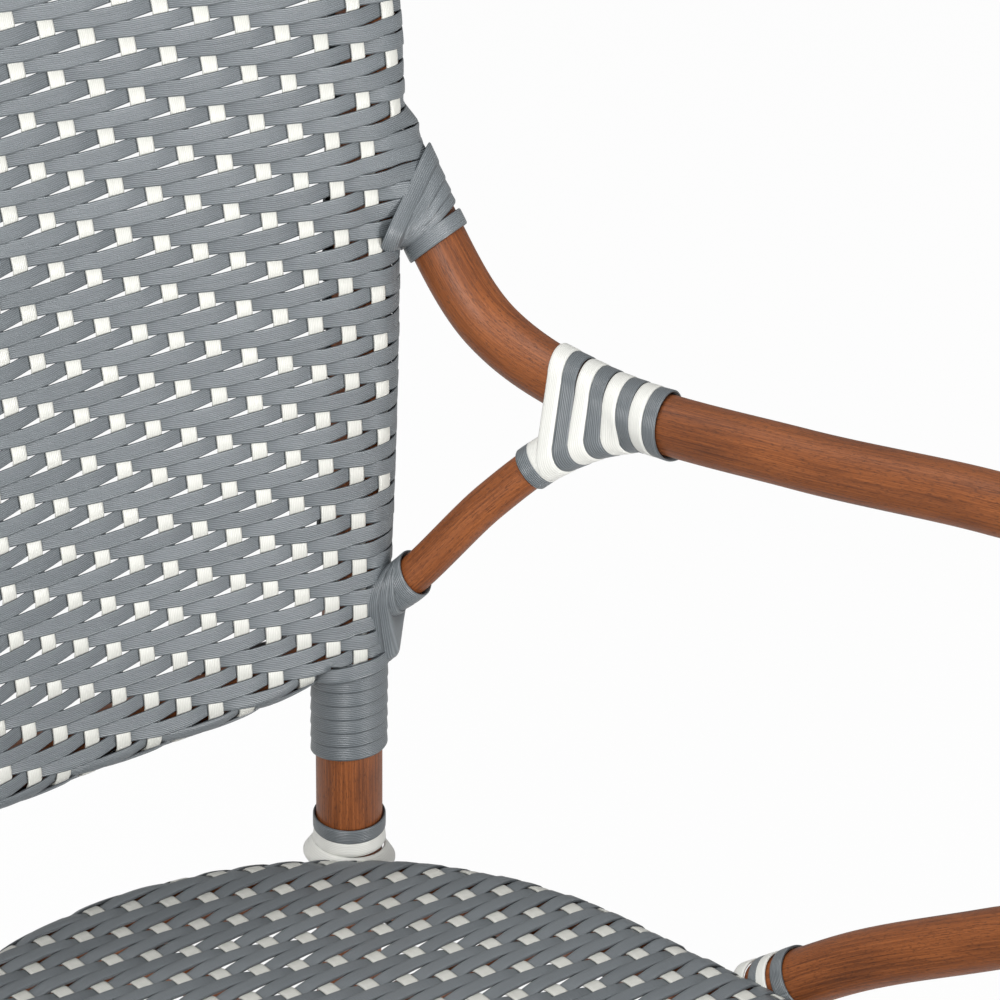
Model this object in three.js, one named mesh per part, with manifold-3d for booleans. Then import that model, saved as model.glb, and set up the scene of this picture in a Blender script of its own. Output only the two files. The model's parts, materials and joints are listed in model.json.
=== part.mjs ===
// Rattan bistro armchair: bent poles, woven back and seat, and joints bound with flat strip.
// The front faces -Y, +X is the sitter's left, +Z is up. All lengths are millimetres.

import * as THREE from 'three';
import { mergeVertices } from 'three/addons/utils/BufferGeometryUtils.js';
import Module from 'manifold-3d';

const wasm = await Module();
wasm.setup();

// Poles

const postDiameter = 30;
const legDiameter = 30;
const armDiameter = 26;
const seatRailDiameter = 24;
const bottomRailDiameter = 24;
const braceDiameter = 17;
const archDiameter = 17;
const crossBarDiameter = 16;

// Strip, weave and the gap that touching pieces keep

const stripWidth = 7;
const stripThickness = 1.1;
const stripSpacing = 0.6;
const wrapSpacing = 0.9;
const weaveThickness = 2.4;
const seatGap = 0.3;
const windingGap = 0.8;
const sheetDip = 0.8;

// Seat: an arc at the back, sides that flare, round front corners

const seatHeight = 455;
const seatArcRadius = 177;
const seatFrontReach = 236;
const seatCornerRadius = 60;
const sideFlareDegrees = 9;
const postPlaceDegrees = 51.8;

// Rear posts, from the foot to the shoulder; setbacks and the waist's forward step start at the seat

const footHalfWidth = 146;
const footSetback = 68;
const shinHeight = 230;
const shinHalfWidth = 134;
const shinSetback = 20;
const waistRise = 92;
const waistHalfWidth = 128;
const waistForward = 1;
const chestHalfWidth = 152.7;
const chestSetback = 20;
const chestHeightShare = 0.56;
const shoulderHalfWidth = 178;
const shoulderSetback = 51;

// Crest and lower rail of the back

const crestRise = 434;
const crestArch = 6;
const crestCornerRadius = 50;
const crestSetback = 75.4;
const backDish = 16;
const backHollow = 4.5;
const dishQuarterShare = 0.75;
const bottomRailSag = 10;

// Arms: heights are above the seat; reaches go forward and setbacks back from the seat's arc centre

const armRootRise = 322;
const armRootOutset = 11;
const armRootSetback = 5.5;
const armShoulderRise = 284;
const armShoulderHalfWidth = 185.4;
const armShoulderSetback = 177.3;
const armBendRise = 241.8;
const armBendHalfWidth = 194;
const armBendSetback = 142.5;
const armDipRise = 224;
const armDipHalfWidth = 208.4;
const armDipSetback = 84.4;
const armMiddleRise = 227.5;
const armMiddleHalfWidth = 233.4;
const armMiddleReach = 16;
const armFrontRise = 237;
const armFrontHalfWidth = 256.3;
const armFrontReach = 108;
const armCrownRise = 239;
const armCrownHalfWidth = 267;
const armCrownReach = 161;
const curlRadius = 80;
const curlHalfWidth = 270;
const curlTurnDegrees = 149;
const curlEndHalfWidth = 252;
const curlEaseShare = 0.35;
const armReturnHalfWidth = 220;
const armReturnReach = 80;
const armReturnRise = 18;
const armEndOutset = 21;
const armEndReach = 36;

// Arm braces: the route runs from the post to the arm as shares of the way along and of the climb

const braceRootRise = 117;
const braceLapSetback = 61;
const braceRouteShares = [[0.155, 0.1], [0.48, 0.57], [0.69, 0.82], [0.85, 0.94]];

// Legs, arches and feet

const frontFootSpread = 8;
const legCornerShare = 0.5;
const archFootHeight = 190;
const archLapLength = 45;
const archRouteShares = [[0.07, 0.52], [0.19, 0.82], [0.34, 0.96]];
const glideHeight = 6;
const glideDiameter = 24;
const glideChamfer = 1.5;
const glidePinDiameter = 5;
const glidePinLength = 14;
const crossBarDrop = 3;
const crossBarSetback = 60;
const crossBarReach = 110;

// Screws that hold the joints of the seat frame

const screwDiameter = 4;
const screwHeadDiameter = 8;
const screwHeadHeight = 3;
const screwBite = 17;
const screwClearance = 0.3;

// Bindings

const stripeTurns = 3.5;
const stripeTiltShare = 0.35;
const stripeSetback = 104.5;
const stripeBraceShare = 0.7;
const postWrapTurns = 3;
const postWrapDrop = 4;
const rootWrapTurns = 3;
const armSkinShare = 0.62;
const legWrapTurns = 2;
const legTopWrapTurns = 2;
const legTopWrapDrop = 6;
const ringTurnShare = 0.96;
const bandLift = 1.5;
const endRingSpacing = 4.5;
const rootClearance = 0.9;

// How finely curves are stepped

const poleSides = 12;
const stepsPerSpan = 3;
const spansBelowWaist = 3;
const spansBelowShoulder = 5;
const slimSides = 8;
const stripeSteps = 16;
const wrapSteps = 12;
const sheetSteps = 8;
const rearSteps = 12;
const cornerSteps = 4;
const bottomRailSteps = 8;

// Finishes

const finishes = {
  rattan: { color: 0x8a4f2c, roughness: 0.45, metalness: 0 },
  weave: { color: 0x747a7e, roughness: 0.5, metalness: 0 },
  grey: { color: 0x6f7579, roughness: 0.45, metalness: 0 },
  white: { color: 0xe8e9e4, roughness: 0.45, metalness: 0 },
  plastic: { color: 0x2a2522, roughness: 0.6, metalness: 0 },
  steel: { color: 0x9a9a98, roughness: 0.35, metalness: 1 },
};

// Radii and levels worked out from the sizes above

const postRadius = postDiameter / 2;
const legRadius = legDiameter / 2;
const armRadius = armDiameter / 2;
const seatRailRadius = seatRailDiameter / 2;
const bottomRailRadius = bottomRailDiameter / 2;
const braceRadius = braceDiameter / 2;
const archRadius = archDiameter / 2;
const crossBarRadius = crossBarDiameter / 2;
const skinDepth = seatGap + weaveThickness;
const seatRailLevel = seatHeight - skinDepth - seatRailRadius;
const crestLevel = seatHeight + crestRise;
const waistLevel = seatHeight + waistRise;
const shoulderLevel = crestLevel - crestArch - crestCornerRadius;
const sideFlare = THREE.MathUtils.degToRad(sideFlareDegrees);
const postPlace = THREE.MathUtils.degToRad(postPlaceDegrees);
const stripPitch = stripWidth + stripSpacing;
const wrapPitch = stripWidth + wrapSpacing;
const up = new THREE.Vector3(0, 0, 1);
const clearOfAll = 2 * crestLevel;

const point = (x, y, z) => new THREE.Vector3(x, y, z);
const lerp = THREE.MathUtils.lerp;
const mirrored = (p, side) => point(side * p.x, p.y, p.z);

// A bent pole's middle line; steps follow its points, so that tight bends get more of them

class Bend extends THREE.CatmullRomCurve3 {
  getUtoTmapping(u) {
    return u;
  }
}

// A stretch of a longer curve, between two of its shares

class Stretch extends THREE.Curve {
  constructor(curve, from, to) {
    super();
    this.curve = curve;
    this.from = from;
    this.to = to;
  }

  getPoint(t) {
    return this.curve.getPointAt(lerp(this.from, this.to, t));
  }

  getUtoTmapping(u) {
    return u;
  }
}

// The share of a curve at which a measure of its points reaches a value

function shareWhere(curve, measure, value, from, to) {
  const rising = measure(curve.getPointAt(to)) > measure(curve.getPointAt(from));
  let low = from;
  let high = to;
  for (let i = 0; i < 30; i += 1) {
    const middle = (low + high) / 2;
    const below = measure(curve.getPointAt(middle)) < value;
    if (below === rising) {
      low = middle;
    } else {
      high = middle;
    }
  }
  return (low + high) / 2;
}

const heightOf = (p) => p.z;

function distanceTo(curve, p) {
  const samples = 200;
  let least = Infinity;
  for (let i = 0; i <= samples; i += 1) {
    least = Math.min(least, curve.getPoint(i / samples).distanceTo(p));
  }
  return least;
}

const setbackOf = (p) => p.y;
const smooth = (points) => new Bend(points);

// A pole is a curve with a radius, and the steps in which it is drawn

function pole(curve, radius, steps, sides = poleSides) {
  return { curve, radius, steps, sides };
}

function roundShape(radius, sides) {
  const corners = [];
  for (let i = 0; i < sides; i += 1) {
    const angle = (2 * Math.PI * i) / sides;
    corners.push(new THREE.Vector2(radius * Math.cos(angle), radius * Math.sin(angle)));
  }
  return new THREE.Shape(corners);
}

function tube({ curve, radius, steps, sides }, growth = 0) {
  const shape = roundShape(radius + growth, sides);
  return new THREE.ExtrudeGeometry(shape, { steps, extrudePath: curve, curveSegments: 1 });
}

// Solids for cutting and joining

function toSolid(geometry) {
  const bare = geometry.clone();
  bare.deleteAttribute('normal');
  bare.deleteAttribute('uv');
  const merged = mergeVertices(bare);
  return new wasm.Manifold(new wasm.Mesh({
    numProp: 3,
    vertProperties: new Float32Array(merged.attributes.position.array),
    triVerts: new Uint32Array(merged.index.array),
  }));
}

function toGeometry(solid) {
  const mesh = solid.getMesh();
  const geometry = new THREE.BufferGeometry();
  geometry.setAttribute('position', new THREE.BufferAttribute(mesh.vertProperties, 3));
  geometry.setIndex(new THREE.BufferAttribute(mesh.triVerts, 1));
  return geometry;
}

const solidPole = (p, growth = 0) => toSolid(tube(p, growth));

function cut(solid, tools) {
  return tools.reduce((left, tool) => left.subtract(tool), solid);
}

// A turned piece on the line from a point in a direction

function turned(profile, base, direction, sides = poleSides) {
  const outline = profile.map(([r, h]) => new THREE.Vector2(r, h));
  const geometry = new THREE.LatheGeometry(outline, sides);
  const turn = new THREE.Quaternion().setFromUnitVectors(point(0, 1, 0), direction.clone().normalize());
  geometry.applyQuaternion(turn);
  geometry.translate(base.x, base.y, base.z);
  return geometry;
}

// The model and how a piece joins it

const chair = new THREE.Group();

function addMesh(name, geometry, finish) {
  geometry.computeVertexNormals();
  const mesh = new THREE.Mesh(geometry, new THREE.MeshStandardMaterial(finishes[finish]));
  mesh.name = name;
  chair.add(mesh);
}

const addSolid = (name, solid, finish) => addMesh(name, toGeometry(solid), finish);
const sides = [['left', 1], ['right', -1]];

// Seat frame

const sideStart = point(
  seatArcRadius * Math.cos(sideFlare),
  seatArcRadius * Math.sin(sideFlare),
  seatRailLevel,
);
const sideDepth = sideStart.y + seatFrontReach - seatCornerRadius * (1 + Math.sin(sideFlare));
const sideRun = sideDepth / Math.cos(sideFlare);
const sideEnd = point(
  sideStart.x + sideRun * Math.sin(sideFlare),
  sideStart.y - sideRun * Math.cos(sideFlare),
  seatRailLevel,
);
const cornerCentre = point(
  sideEnd.x - seatCornerRadius * Math.cos(sideFlare),
  seatCornerRadius - seatFrontReach,
  seatRailLevel,
);

const straight = (a, b, count) => ({ count, at: (f) => a.clone().lerp(b, f) });

function arc(centre, radius, from, to, count) {
  return {
    count,
    at: (f) => point(
      centre.x + radius * Math.cos(lerp(from, to, f)),
      centre.y + radius * Math.sin(lerp(from, to, f)),
      centre.z,
    ),
  };
}

// A line of straight and round pieces, each with its own count of steps

class JoinedLine extends THREE.Curve {
  constructor(pieces) {
    super();
    this.pieces = pieces;
    this.steps = pieces.reduce((sum, piece) => sum + piece.count, 0);
  }

  getPoint(t) {
    let left = t * this.steps;
    const found = this.pieces.find((piece, i) => {
      if (left <= piece.count || i === this.pieces.length - 1) {
        return true;
      }
      left -= piece.count;
      return false;
    });
    return found.at(left / found.count);
  }

  getUtoTmapping(u) {
    return u;
  }
}

const frontCorner = point(cornerCentre.x, -seatFrontReach, seatRailLevel);
const frontMiddle = point(0, -seatFrontReach, seatRailLevel);
const mirroredCentre = mirrored(cornerCentre, -1);
const quarter = Math.PI / 2;
const leftSide = straight(sideStart, sideEnd, 1);
const leftCorner = arc(cornerCentre, seatCornerRadius, sideFlare, -quarter, cornerSteps);
const rightCorner = arc(mirroredCentre, seatCornerRadius, -quarter, -2 * quarter - sideFlare, cornerSteps);
const rightSide = straight(mirrored(sideEnd, -1), mirrored(sideStart, -1), 1);
const rearArc = arc(point(0, 0, seatRailLevel), seatArcRadius, 2 * quarter - sideFlare, sideFlare, rearSteps);
const frontRun = straight(frontCorner, mirrored(frontCorner, -1), 2);

// A line with a little left out at both ends

function trimmed(line, length) {
  const end = (from, toward) => {
    const tip = line.getPointAt(from);
    return shareWhere(line, (p) => p.distanceTo(tip), length, from, toward);
  };
  return new Stretch(line, end(0, 1 / line.steps), end(1, 1 - 1 / line.steps));
}

// Joints between rails leave half the gap at each end

function railOf(pieces) {
  const line = new JoinedLine(pieces);
  return pole(trimmed(line, seatGap / 2), seatRailRadius, line.steps);
}

const seatRearRail = railOf([rearArc]);
const seatFrontRail = railOf([leftCorner, frontRun, rightCorner]);
const seatSideRails = [railOf([leftSide]), railOf([rightSide])];
const seatRails = [seatRearRail, seatFrontRail, ...seatSideRails];

// The whole ring in one run, from the middle of the front and back to it

const seatRing = new JoinedLine([
  straight(frontMiddle, mirrored(frontCorner, -1), 1),
  rightCorner,
  rightSide,
  rearArc,
  leftSide,
  leftCorner,
  straight(frontCorner, frontMiddle, 1),
]);

// Rear posts and crest follow one hoop from foot to foot

const postRadialPlace = seatArcRadius + seatRailRadius + seatGap + postRadius;
const postAtSeat = point(
  postRadialPlace * Math.cos(postPlace),
  postRadialPlace * Math.sin(postPlace),
  seatRailLevel,
);

function hoopHalf() {
  const { y } = postAtSeat;
  const shoulderTilt = (crestSetback - shoulderSetback) / (crestArch + crestCornerRadius);
  const cornerDrop = crestCornerRadius * (1 - Math.SQRT1_2);
  const diagonalLevel = crestLevel - crestArch - cornerDrop;
  const diagonalSetback = shoulderSetback + (diagonalLevel - shoulderLevel) * shoulderTilt;
  const cornerHalfWidth = shoulderHalfWidth - crestCornerRadius;
  return [
    point(footHalfWidth, y + footSetback, 0),
    point(shinHalfWidth, y + shinSetback, shinHeight),
    postAtSeat,
    point(waistHalfWidth, y - waistForward, waistLevel),
    point(chestHalfWidth, y + chestSetback, lerp(waistLevel, shoulderLevel, chestHeightShare)),
    point(shoulderHalfWidth, y + shoulderSetback, shoulderLevel),
    point(shoulderHalfWidth - cornerDrop, y + diagonalSetback, diagonalLevel),
    point(cornerHalfWidth, y + crestSetback, crestLevel - crestArch),
  ];
}

const hoopLeft = hoopHalf();
const hoop = smooth([
  ...hoopLeft,
  point(0, postAtSeat.y + crestSetback + backDish, crestLevel),
  ...hoopLeft.map((p) => mirrored(p, -1)).reverse(),
]);
const hoopSpans = hoop.points.length - 1;
const shoulderShare = spansBelowShoulder / hoopSpans;
const waistShare = spansBelowWaist / hoopSpans;
const shoulder = hoop.getPointAt(shoulderShare);

// Where the posts end and the crest begins, half the gap from the shoulder

function besideShoulder(toward) {
  const limit = lerp(shoulderShare, toward, 1 / 10);
  return shareWhere(hoop, (p) => p.distanceTo(shoulder), seatGap / 2, shoulderShare, limit);
}

function onPost(height, side) {
  return mirrored(hoop.getPointAt(shareWhere(hoop, heightOf, height, 0, shoulderShare)), side);
}

function postTangent(height, side) {
  return mirrored(hoop.getTangentAt(shareWhere(hoop, heightOf, height, 0, shoulderShare)), side);
}

const postEnd = besideShoulder(0);
const crestStart = besideShoulder(1 / 2);
const postSteps = stepsPerSpan * spansBelowShoulder;
const crestSteps = stepsPerSpan * (hoopSpans - 2 * spansBelowShoulder);
const posts = [
  pole(new Stretch(hoop, 0, postEnd), postRadius, postSteps),
  pole(new Stretch(hoop, 1, 1 - postEnd), postRadius, postSteps),
];
const crest = pole(new Stretch(hoop, crestStart, 1 - crestStart), postRadius, crestSteps);

// Lower rail of the back, level with the posts' front and dished like the crest

function bottomRailCurve() {
  const forward = postRadius - bottomRailRadius;
  const end = onPost(waistLevel + bottomRailSag, 1);
  const between = point(end.x / 2, end.y - forward + backDish * dishQuarterShare, waistLevel);
  const middle = point(0, end.y - forward + backDish, waistLevel);
  const half = [point(end.x, end.y - forward, end.z), between];
  return smooth([...half, middle, ...half.map((p) => mirrored(p, -1)).reverse()]);
}

const bottomLine = bottomRailCurve();
const bottomRail = pole(bottomLine, bottomRailRadius, bottomRailSteps);

// Arms: one pole from the post, forward, round the curl and back to the seat's side rail

const seatSideX = (reach) => sideStart.x + (sideStart.y + reach) * Math.tan(sideFlare);

function armCurve(side) {
  const root = onPost(seatHeight + armRootRise, 1);
  const crown = seatHeight + armCrownRise;
  const curl = (degrees, halfWidth) => {
    const angle = THREE.MathUtils.degToRad(degrees);
    const along = armCrownReach + curlRadius * Math.sin(angle);
    return point(halfWidth, -along, crown - curlRadius * (1 - Math.cos(angle)));
  };
  const back = curl(curlTurnDegrees, curlEndHalfWidth);
  const returned = point(armReturnHalfWidth, -armReturnReach, seatHeight + armReturnRise);
  const points = [
    point(root.x + armRootOutset, root.y + armRootSetback, root.z),
    point(armShoulderHalfWidth, armShoulderSetback, seatHeight + armShoulderRise),
    point(armBendHalfWidth, armBendSetback, seatHeight + armBendRise),
    point(armDipHalfWidth, armDipSetback, seatHeight + armDipRise),
    point(armMiddleHalfWidth, -armMiddleReach, seatHeight + armMiddleRise),
    point(armFrontHalfWidth, -armFrontReach, seatHeight + armFrontRise),
    curl(0, armCrownHalfWidth),
    curl(curlTurnDegrees / 3, curlHalfWidth),
    curl(2 * curlTurnDegrees / 3, lerp(curlHalfWidth, curlEndHalfWidth, curlEaseShare)),
    back,
    back.clone().lerp(returned, 0.5),
    returned,
    point(seatSideX(armEndReach) + armEndOutset, -armEndReach, seatRailLevel),
  ];
  return smooth(points.map((p) => mirrored(p, side)));
}

const armSteps = stepsPerSpan * (armCurve(1).points.length - 1);
const arms = sides.map(([, side]) => pole(armCurve(side), armRadius, armSteps));

// Braces from post to arm, ending level with the arm's underside

function braceCurve(side, arm) {
  const start = onPost(seatHeight + braceRootRise, side);
  const end = arm.curve.getPointAt(shareWhere(arm.curve, setbackOf, braceLapSetback, 0, 1 / 2));
  end.z -= armRadius - braceRadius;
  const route = braceRouteShares.map(([alongShare, climbShare]) => point(
    lerp(start.x, end.x, alongShare),
    lerp(start.y, end.y, alongShare),
    lerp(start.z, end.z, climbShare),
  ));
  return smooth([start, ...route, end]);
}

const braces = sides.map(([, side], i) => pole(braceCurve(side, arms[i]), braceRadius, 9));

// Front legs stand under the seat's front corners

const legCornerAngle = lerp(sideFlare, -Math.PI / 2, legCornerShare);
const legOut = point(Math.cos(legCornerAngle), Math.sin(legCornerAngle), 0);

function legCurve(side) {
  const top = cornerCentre.clone().addScaledVector(legOut, seatCornerRadius);
  const foot = top.clone().addScaledVector(legOut, frontFootSpread);
  foot.z = 0;
  return new THREE.LineCurve3(mirrored(foot, side), mirrored(top, side));
}

const frontLegs = sides.map(([, side]) => pole(legCurve(side), legRadius, 1));

// Arches lap the legs, rise beside them and meet the underside of a seat rail

function onLine(curve, height) {
  return curve.getPointAt(shareWhere(curve, heightOf, height, 0, 1));
}

function archCurve(legA, legB, railMiddle) {
  const apexLevel = seatRailLevel - seatRailRadius - skinDepth - seatGap - archRadius;
  const place = (height, alongShare, fromA) => {
    const a = onLine(legA.curve, height);
    const b = onLine(legB.curve, height);
    const across = b.clone().sub(a).normalize();
    a.addScaledVector(across, legA.radius + seatGap + archRadius);
    b.addScaledVector(across, -(legB.radius + seatGap + archRadius));
    const along = fromA ? alongShare : 1 - alongShare;
    const centre = a.clone().lerp(b, 0.5);
    const bow = railMiddle.clone().sub(centre).multiplyScalar(Math.sin(Math.PI * along));
    bow.z = 0;
    const p = a.lerp(b, along).add(bow);
    p.z = height;
    return p;
  };
  const half = (fromA) => [
    place(archFootHeight, 0, fromA),
    place(archFootHeight + archLapLength, 0, fromA),
    ...archRouteShares.map(([alongShare, climbShare]) => (
      place(lerp(archFootHeight + archLapLength, apexLevel, climbShare), alongShare, fromA)
    )),
  ];
  return smooth([...half(true), place(apexLevel, 0.5, true), ...half(false).reverse()]);
}

// The rear legs are the posts below the seat

const rearLegs = posts.map((post) => ({
  curve: new Stretch(post.curve, 0, shareWhere(post.curve, heightOf, seatRailLevel, 0, 1)),
  radius: post.radius,
}));
const sideRailMiddle = sideStart.clone().lerp(sideEnd, 0.5);
const arches = {
  front: pole(archCurve(frontLegs[0], frontLegs[1], point(0, -seatFrontReach, 0)), archRadius, 16, slimSides),
  rear: pole(archCurve(rearLegs[0], rearLegs[1], point(0, seatArcRadius, 0)), archRadius, 16, slimSides),
  left: pole(archCurve(frontLegs[0], rearLegs[0], sideRailMiddle), archRadius, 16, slimSides),
  right: pole(archCurve(frontLegs[1], rearLegs[1], mirrored(sideRailMiddle, -1)), archRadius, 16, slimSides),
};

// Cross bars under the seat weave

const crossBars = [crossBarSetback, -crossBarReach].map((setback) => {
  const level = seatRailLevel - crossBarDrop;
  const end = point(seatSideX(-setback), setback, level);
  return pole(new THREE.LineCurve3(mirrored(end, -1), end), crossBarRadius, 1, slimSides);
});

// Feet: a glide under each leg, with its pin up the leg's middle

const footLegs = { front: frontLegs, rear: posts };

function glideProfile(growth) {
  const pinTop = glideHeight + glidePinLength + growth;
  const rim = glideDiameter / 2;
  const pin = glidePinDiameter / 2 + growth;
  return { pinTop, rim, pin };
}

function glide(leg) {
  const { pinTop, rim, pin } = glideProfile(0);
  const profile = [[0, 0], [rim - glideChamfer, 0], [rim, glideChamfer], [rim, glideHeight],
    [pin, glideHeight], [pin, pinTop], [0, pinTop]];
  const foot = onLine(leg.curve, glideHeight);
  return turned(profile, point(foot.x, foot.y, 0), up);
}

function footCut(leg) {
  const { pinTop, pin } = glideProfile(screwClearance);
  const foot = onLine(leg.curve, glideHeight);
  const hole = toSolid(turned([[0, 0], [pin, 0], [pin, pinTop], [0, pinTop]], point(foot.x, foot.y, 0), up));
  const floor = new THREE.BoxGeometry(clearOfAll, clearOfAll, 2 * (glideHeight + seatGap));
  return toSolid(floor).add(hole);
}

// Screws: from the post into the rear rail, and through the side rail into the arm's end

function screwProfile(length, growth) {
  const head = screwHeadDiameter / 2 + growth;
  const shank = screwDiameter / 2 + growth;
  return [[0, -growth], [head, -growth], [head, screwHeadHeight / 3], [shank, screwHeadHeight],
    [shank, length + growth], [0, length + growth]];
}

function screwJoint(head, direction, length) {
  return {
    body: turned(screwProfile(length, 0), head, direction, slimSides),
    hole: toSolid(turned(screwProfile(length, screwClearance), head, direction, slimSides)),
  };
}

function postScrew(side) {
  const inward = mirrored(point(-Math.cos(postPlace), -Math.sin(postPlace), 0), side);
  const head = onPost(seatRailLevel, side).addScaledVector(inward, screwHeadHeight - postRadius);
  return screwJoint(head, inward, 2 * postRadius - screwHeadHeight + seatGap + screwBite);
}

function armScrew(side, arm) {
  const target = arm.curve.getPointAt(1).addScaledVector(arm.curve.getTangentAt(1), -armRadius);
  const axis = mirrored(point(seatSideX(-target.y), target.y, seatRailLevel), side);
  const outward = target.sub(axis).normalize();
  const head = axis.addScaledVector(outward, screwHeadHeight - seatRailRadius);
  return screwJoint(head, outward, 2 * seatRailRadius + screwBite - screwHeadHeight);
}

const postScrews = sides.map(([, side]) => postScrew(side));
const armScrews = sides.map(([, side], i) => armScrew(side, arms[i]));

// Woven skin round a pole, and the woven sheets

const skin = (p, steps) => solidPole(pole(p.curve, p.radius + skinDepth, steps, poleSides));

function gridSolid(surface, columns, rows) {
  const positions = [];
  const corner = (layer, i, j) => layer * (columns + 1) * (rows + 1) + j * (columns + 1) + i;
  for (const depth of [0, 1]) {
    for (let j = 0; j <= rows; j += 1) {
      for (let i = 0; i <= columns; i += 1) {
        positions.push(...surface(i / columns, j / rows, depth).toArray());
      }
    }
  }
  const triangles = [];
  const quad = (a, b, c, d) => triangles.push(a, b, c, a, c, d);
  for (let j = 0; j < rows; j += 1) {
    for (let i = 0; i < columns; i += 1) {
      quad(corner(0, i, j), corner(0, i + 1, j), corner(0, i + 1, j + 1), corner(0, i, j + 1));
      quad(corner(1, i, j), corner(1, i, j + 1), corner(1, i + 1, j + 1), corner(1, i + 1, j));
    }
  }
  for (let i = 0; i < columns; i += 1) {
    quad(corner(0, i, 0), corner(1, i, 0), corner(1, i + 1, 0), corner(0, i + 1, 0));
    quad(corner(0, i + 1, rows), corner(1, i + 1, rows), corner(1, i, rows), corner(0, i, rows));
  }
  for (let j = 0; j < rows; j += 1) {
    quad(corner(0, 0, j + 1), corner(1, 0, j + 1), corner(1, 0, j), corner(0, 0, j));
    quad(corner(0, columns, j), corner(1, columns, j), corner(1, columns, j + 1), corner(0, columns, j + 1));
  }
  const geometry = new THREE.BufferGeometry();
  geometry.setAttribute('position', new THREE.Float32BufferAttribute(positions, 3));
  geometry.setIndex(triangles);
  return facingOut(geometry);
}

function signedVolume(geometry) {
  const { position } = geometry.attributes;
  const index = geometry.index.array;
  const [a, b, c] = [point(0, 0, 0), point(0, 0, 0), point(0, 0, 0)];
  let volume = 0;
  for (let i = 0; i < index.length; i += 3) {
    a.fromBufferAttribute(position, index[i]);
    b.fromBufferAttribute(position, index[i + 1]);
    c.fromBufferAttribute(position, index[i + 2]);
    volume += a.dot(b.cross(c)) / 6;
  }
  return volume;
}

function facingOut(geometry) {
  if (signedVolume(geometry) < 0) {
    const index = geometry.index.array;
    for (let i = 0; i < index.length; i += 3) {
      [index[i], index[i + 1]] = [index[i + 1], index[i]];
    }
  }
  return geometry;
}

// The back's sheet blends the hoop, the posts and the lower rail, and lies over their front

function backSheet() {
  const crestLine = new Stretch(hoop, shoulderShare, 1 - shoulderShare);
  const leftLine = new Stretch(hoop, waistShare, shoulderShare);
  const rightLine = new Stretch(hoop, 1 - waistShare, 1 - shoulderShare);
  const onAxes = (u, v) => {
    const forward = point(0, bottomRailRadius - postRadius, 0);
    const low = bottomLine.getPointAt(u).sub(forward);
    const high = crestLine.getPointAt(u);
    const left = leftLine.getPointAt(v);
    const right = rightLine.getPointAt(v);
    const corners = [bottomLine.getPointAt(0).sub(forward), bottomLine.getPointAt(1).sub(forward),
      crestLine.getPointAt(0), crestLine.getPointAt(1)];
    const weights = [(1 - u) * (1 - v), u * (1 - v), (1 - u) * v, u * v];
    const p = low.multiplyScalar(1 - v).addScaledVector(high, v);
    p.addScaledVector(left, 1 - u).addScaledVector(right, u);
    corners.forEach((corner, i) => p.addScaledVector(corner, -weights[i]));
    return p;
  };
  const frontNormal = (v) => {
    const along = postTangent(lerp(waistLevel, shoulderLevel, v), 1);
    return point(0, -along.z, along.y).normalize();
  };
  return gridSolid((u, v, depth) => {
    const hollow = backHollow * Math.sin(Math.PI * u) * Math.sin(Math.PI * v);
    const off = postRadius + seatGap + weaveThickness * depth - sheetDip - hollow;
    return onAxes(u, v).addScaledVector(frontNormal(v), off);
  }, sheetSteps, sheetSteps);
}

// How far from a post's middle line a wrapped branch is clear of the post's skin

const clearOfPost = (radius) => postRadius + skinDepth + radius + stripThickness + rootClearance;

// Facets of a bore stand off far enough for a pole whose own facets are turned

const bore = (curve, radius, steps) => (
  solidPole(pole(curve, (radius + seatGap) / Math.cos(Math.PI / poleSides), steps))
);

function wovenBack() {
  const spans = hoopSpans - 2 * spansBelowWaist;
  const stepsBeyond = 1;
  const hoopSkin = pole(new Stretch(hoop, waistShare, 1 - waistShare), postRadius);
  const beyond = waistShare - stepsBeyond / (stepsPerSpan * hoopSpans);
  const skins = [skin(hoopSkin, stepsPerSpan * spans), skin(bottomRail, bottomRailSteps)];
  arms.forEach((p, i) => {
    const skinned = armSkinShare * clearOfPost(armRadius);
    const end = shareWhere(p.curve, (q) => distanceTo(posts[i].curve, q), skinned, 0, 1 / 5);
    skins.push(skin({ curve: new Stretch(p.curve, 0, end), radius: p.radius }, stepsPerSpan));
  });
  const whole = skins.reduce((sum, part) => sum.add(part), toSolid(backSheet()));
  return cut(whole, [
    bore(new Stretch(hoop, beyond, 1 - beyond), postRadius, stepsPerSpan * spans + 2 * stepsBeyond),
    bore(bottomLine, bottomRailRadius, bottomRailSteps),
    ...[...arms, ...braces].map((p) => solidPole(p, seatGap)),
  ]);
}

function wovenSeat() {
  const outline = seatRing.getPoints(seatRing.steps).slice(1, -1);
  const shape = new THREE.Shape(outline.map((p) => new THREE.Vector2(p.x, p.y)));
  const sheet = new THREE.ExtrudeGeometry(shape, { depth: weaveThickness, bevelEnabled: false });
  sheet.translate(0, 0, seatHeight - weaveThickness - sheetDip);
  const open = trimmed(seatRing, seatGap);
  const whole = toSolid(sheet).add(skin(pole(open, seatRailRadius), seatRing.steps));
  return cut(whole, [
    bore(open, seatRailRadius, seatRing.steps),
    solidPole(seatFrontRail, seatGap),
    ...[...posts, ...arms, ...frontLegs, ...crossBars].map((p) => solidPole(p, seatGap)),
    ...[...postScrews, ...armScrews].map((s) => s.hole),
  ]);
}

// Bindings: flat strip wound round the hull of one or more poles

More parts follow.
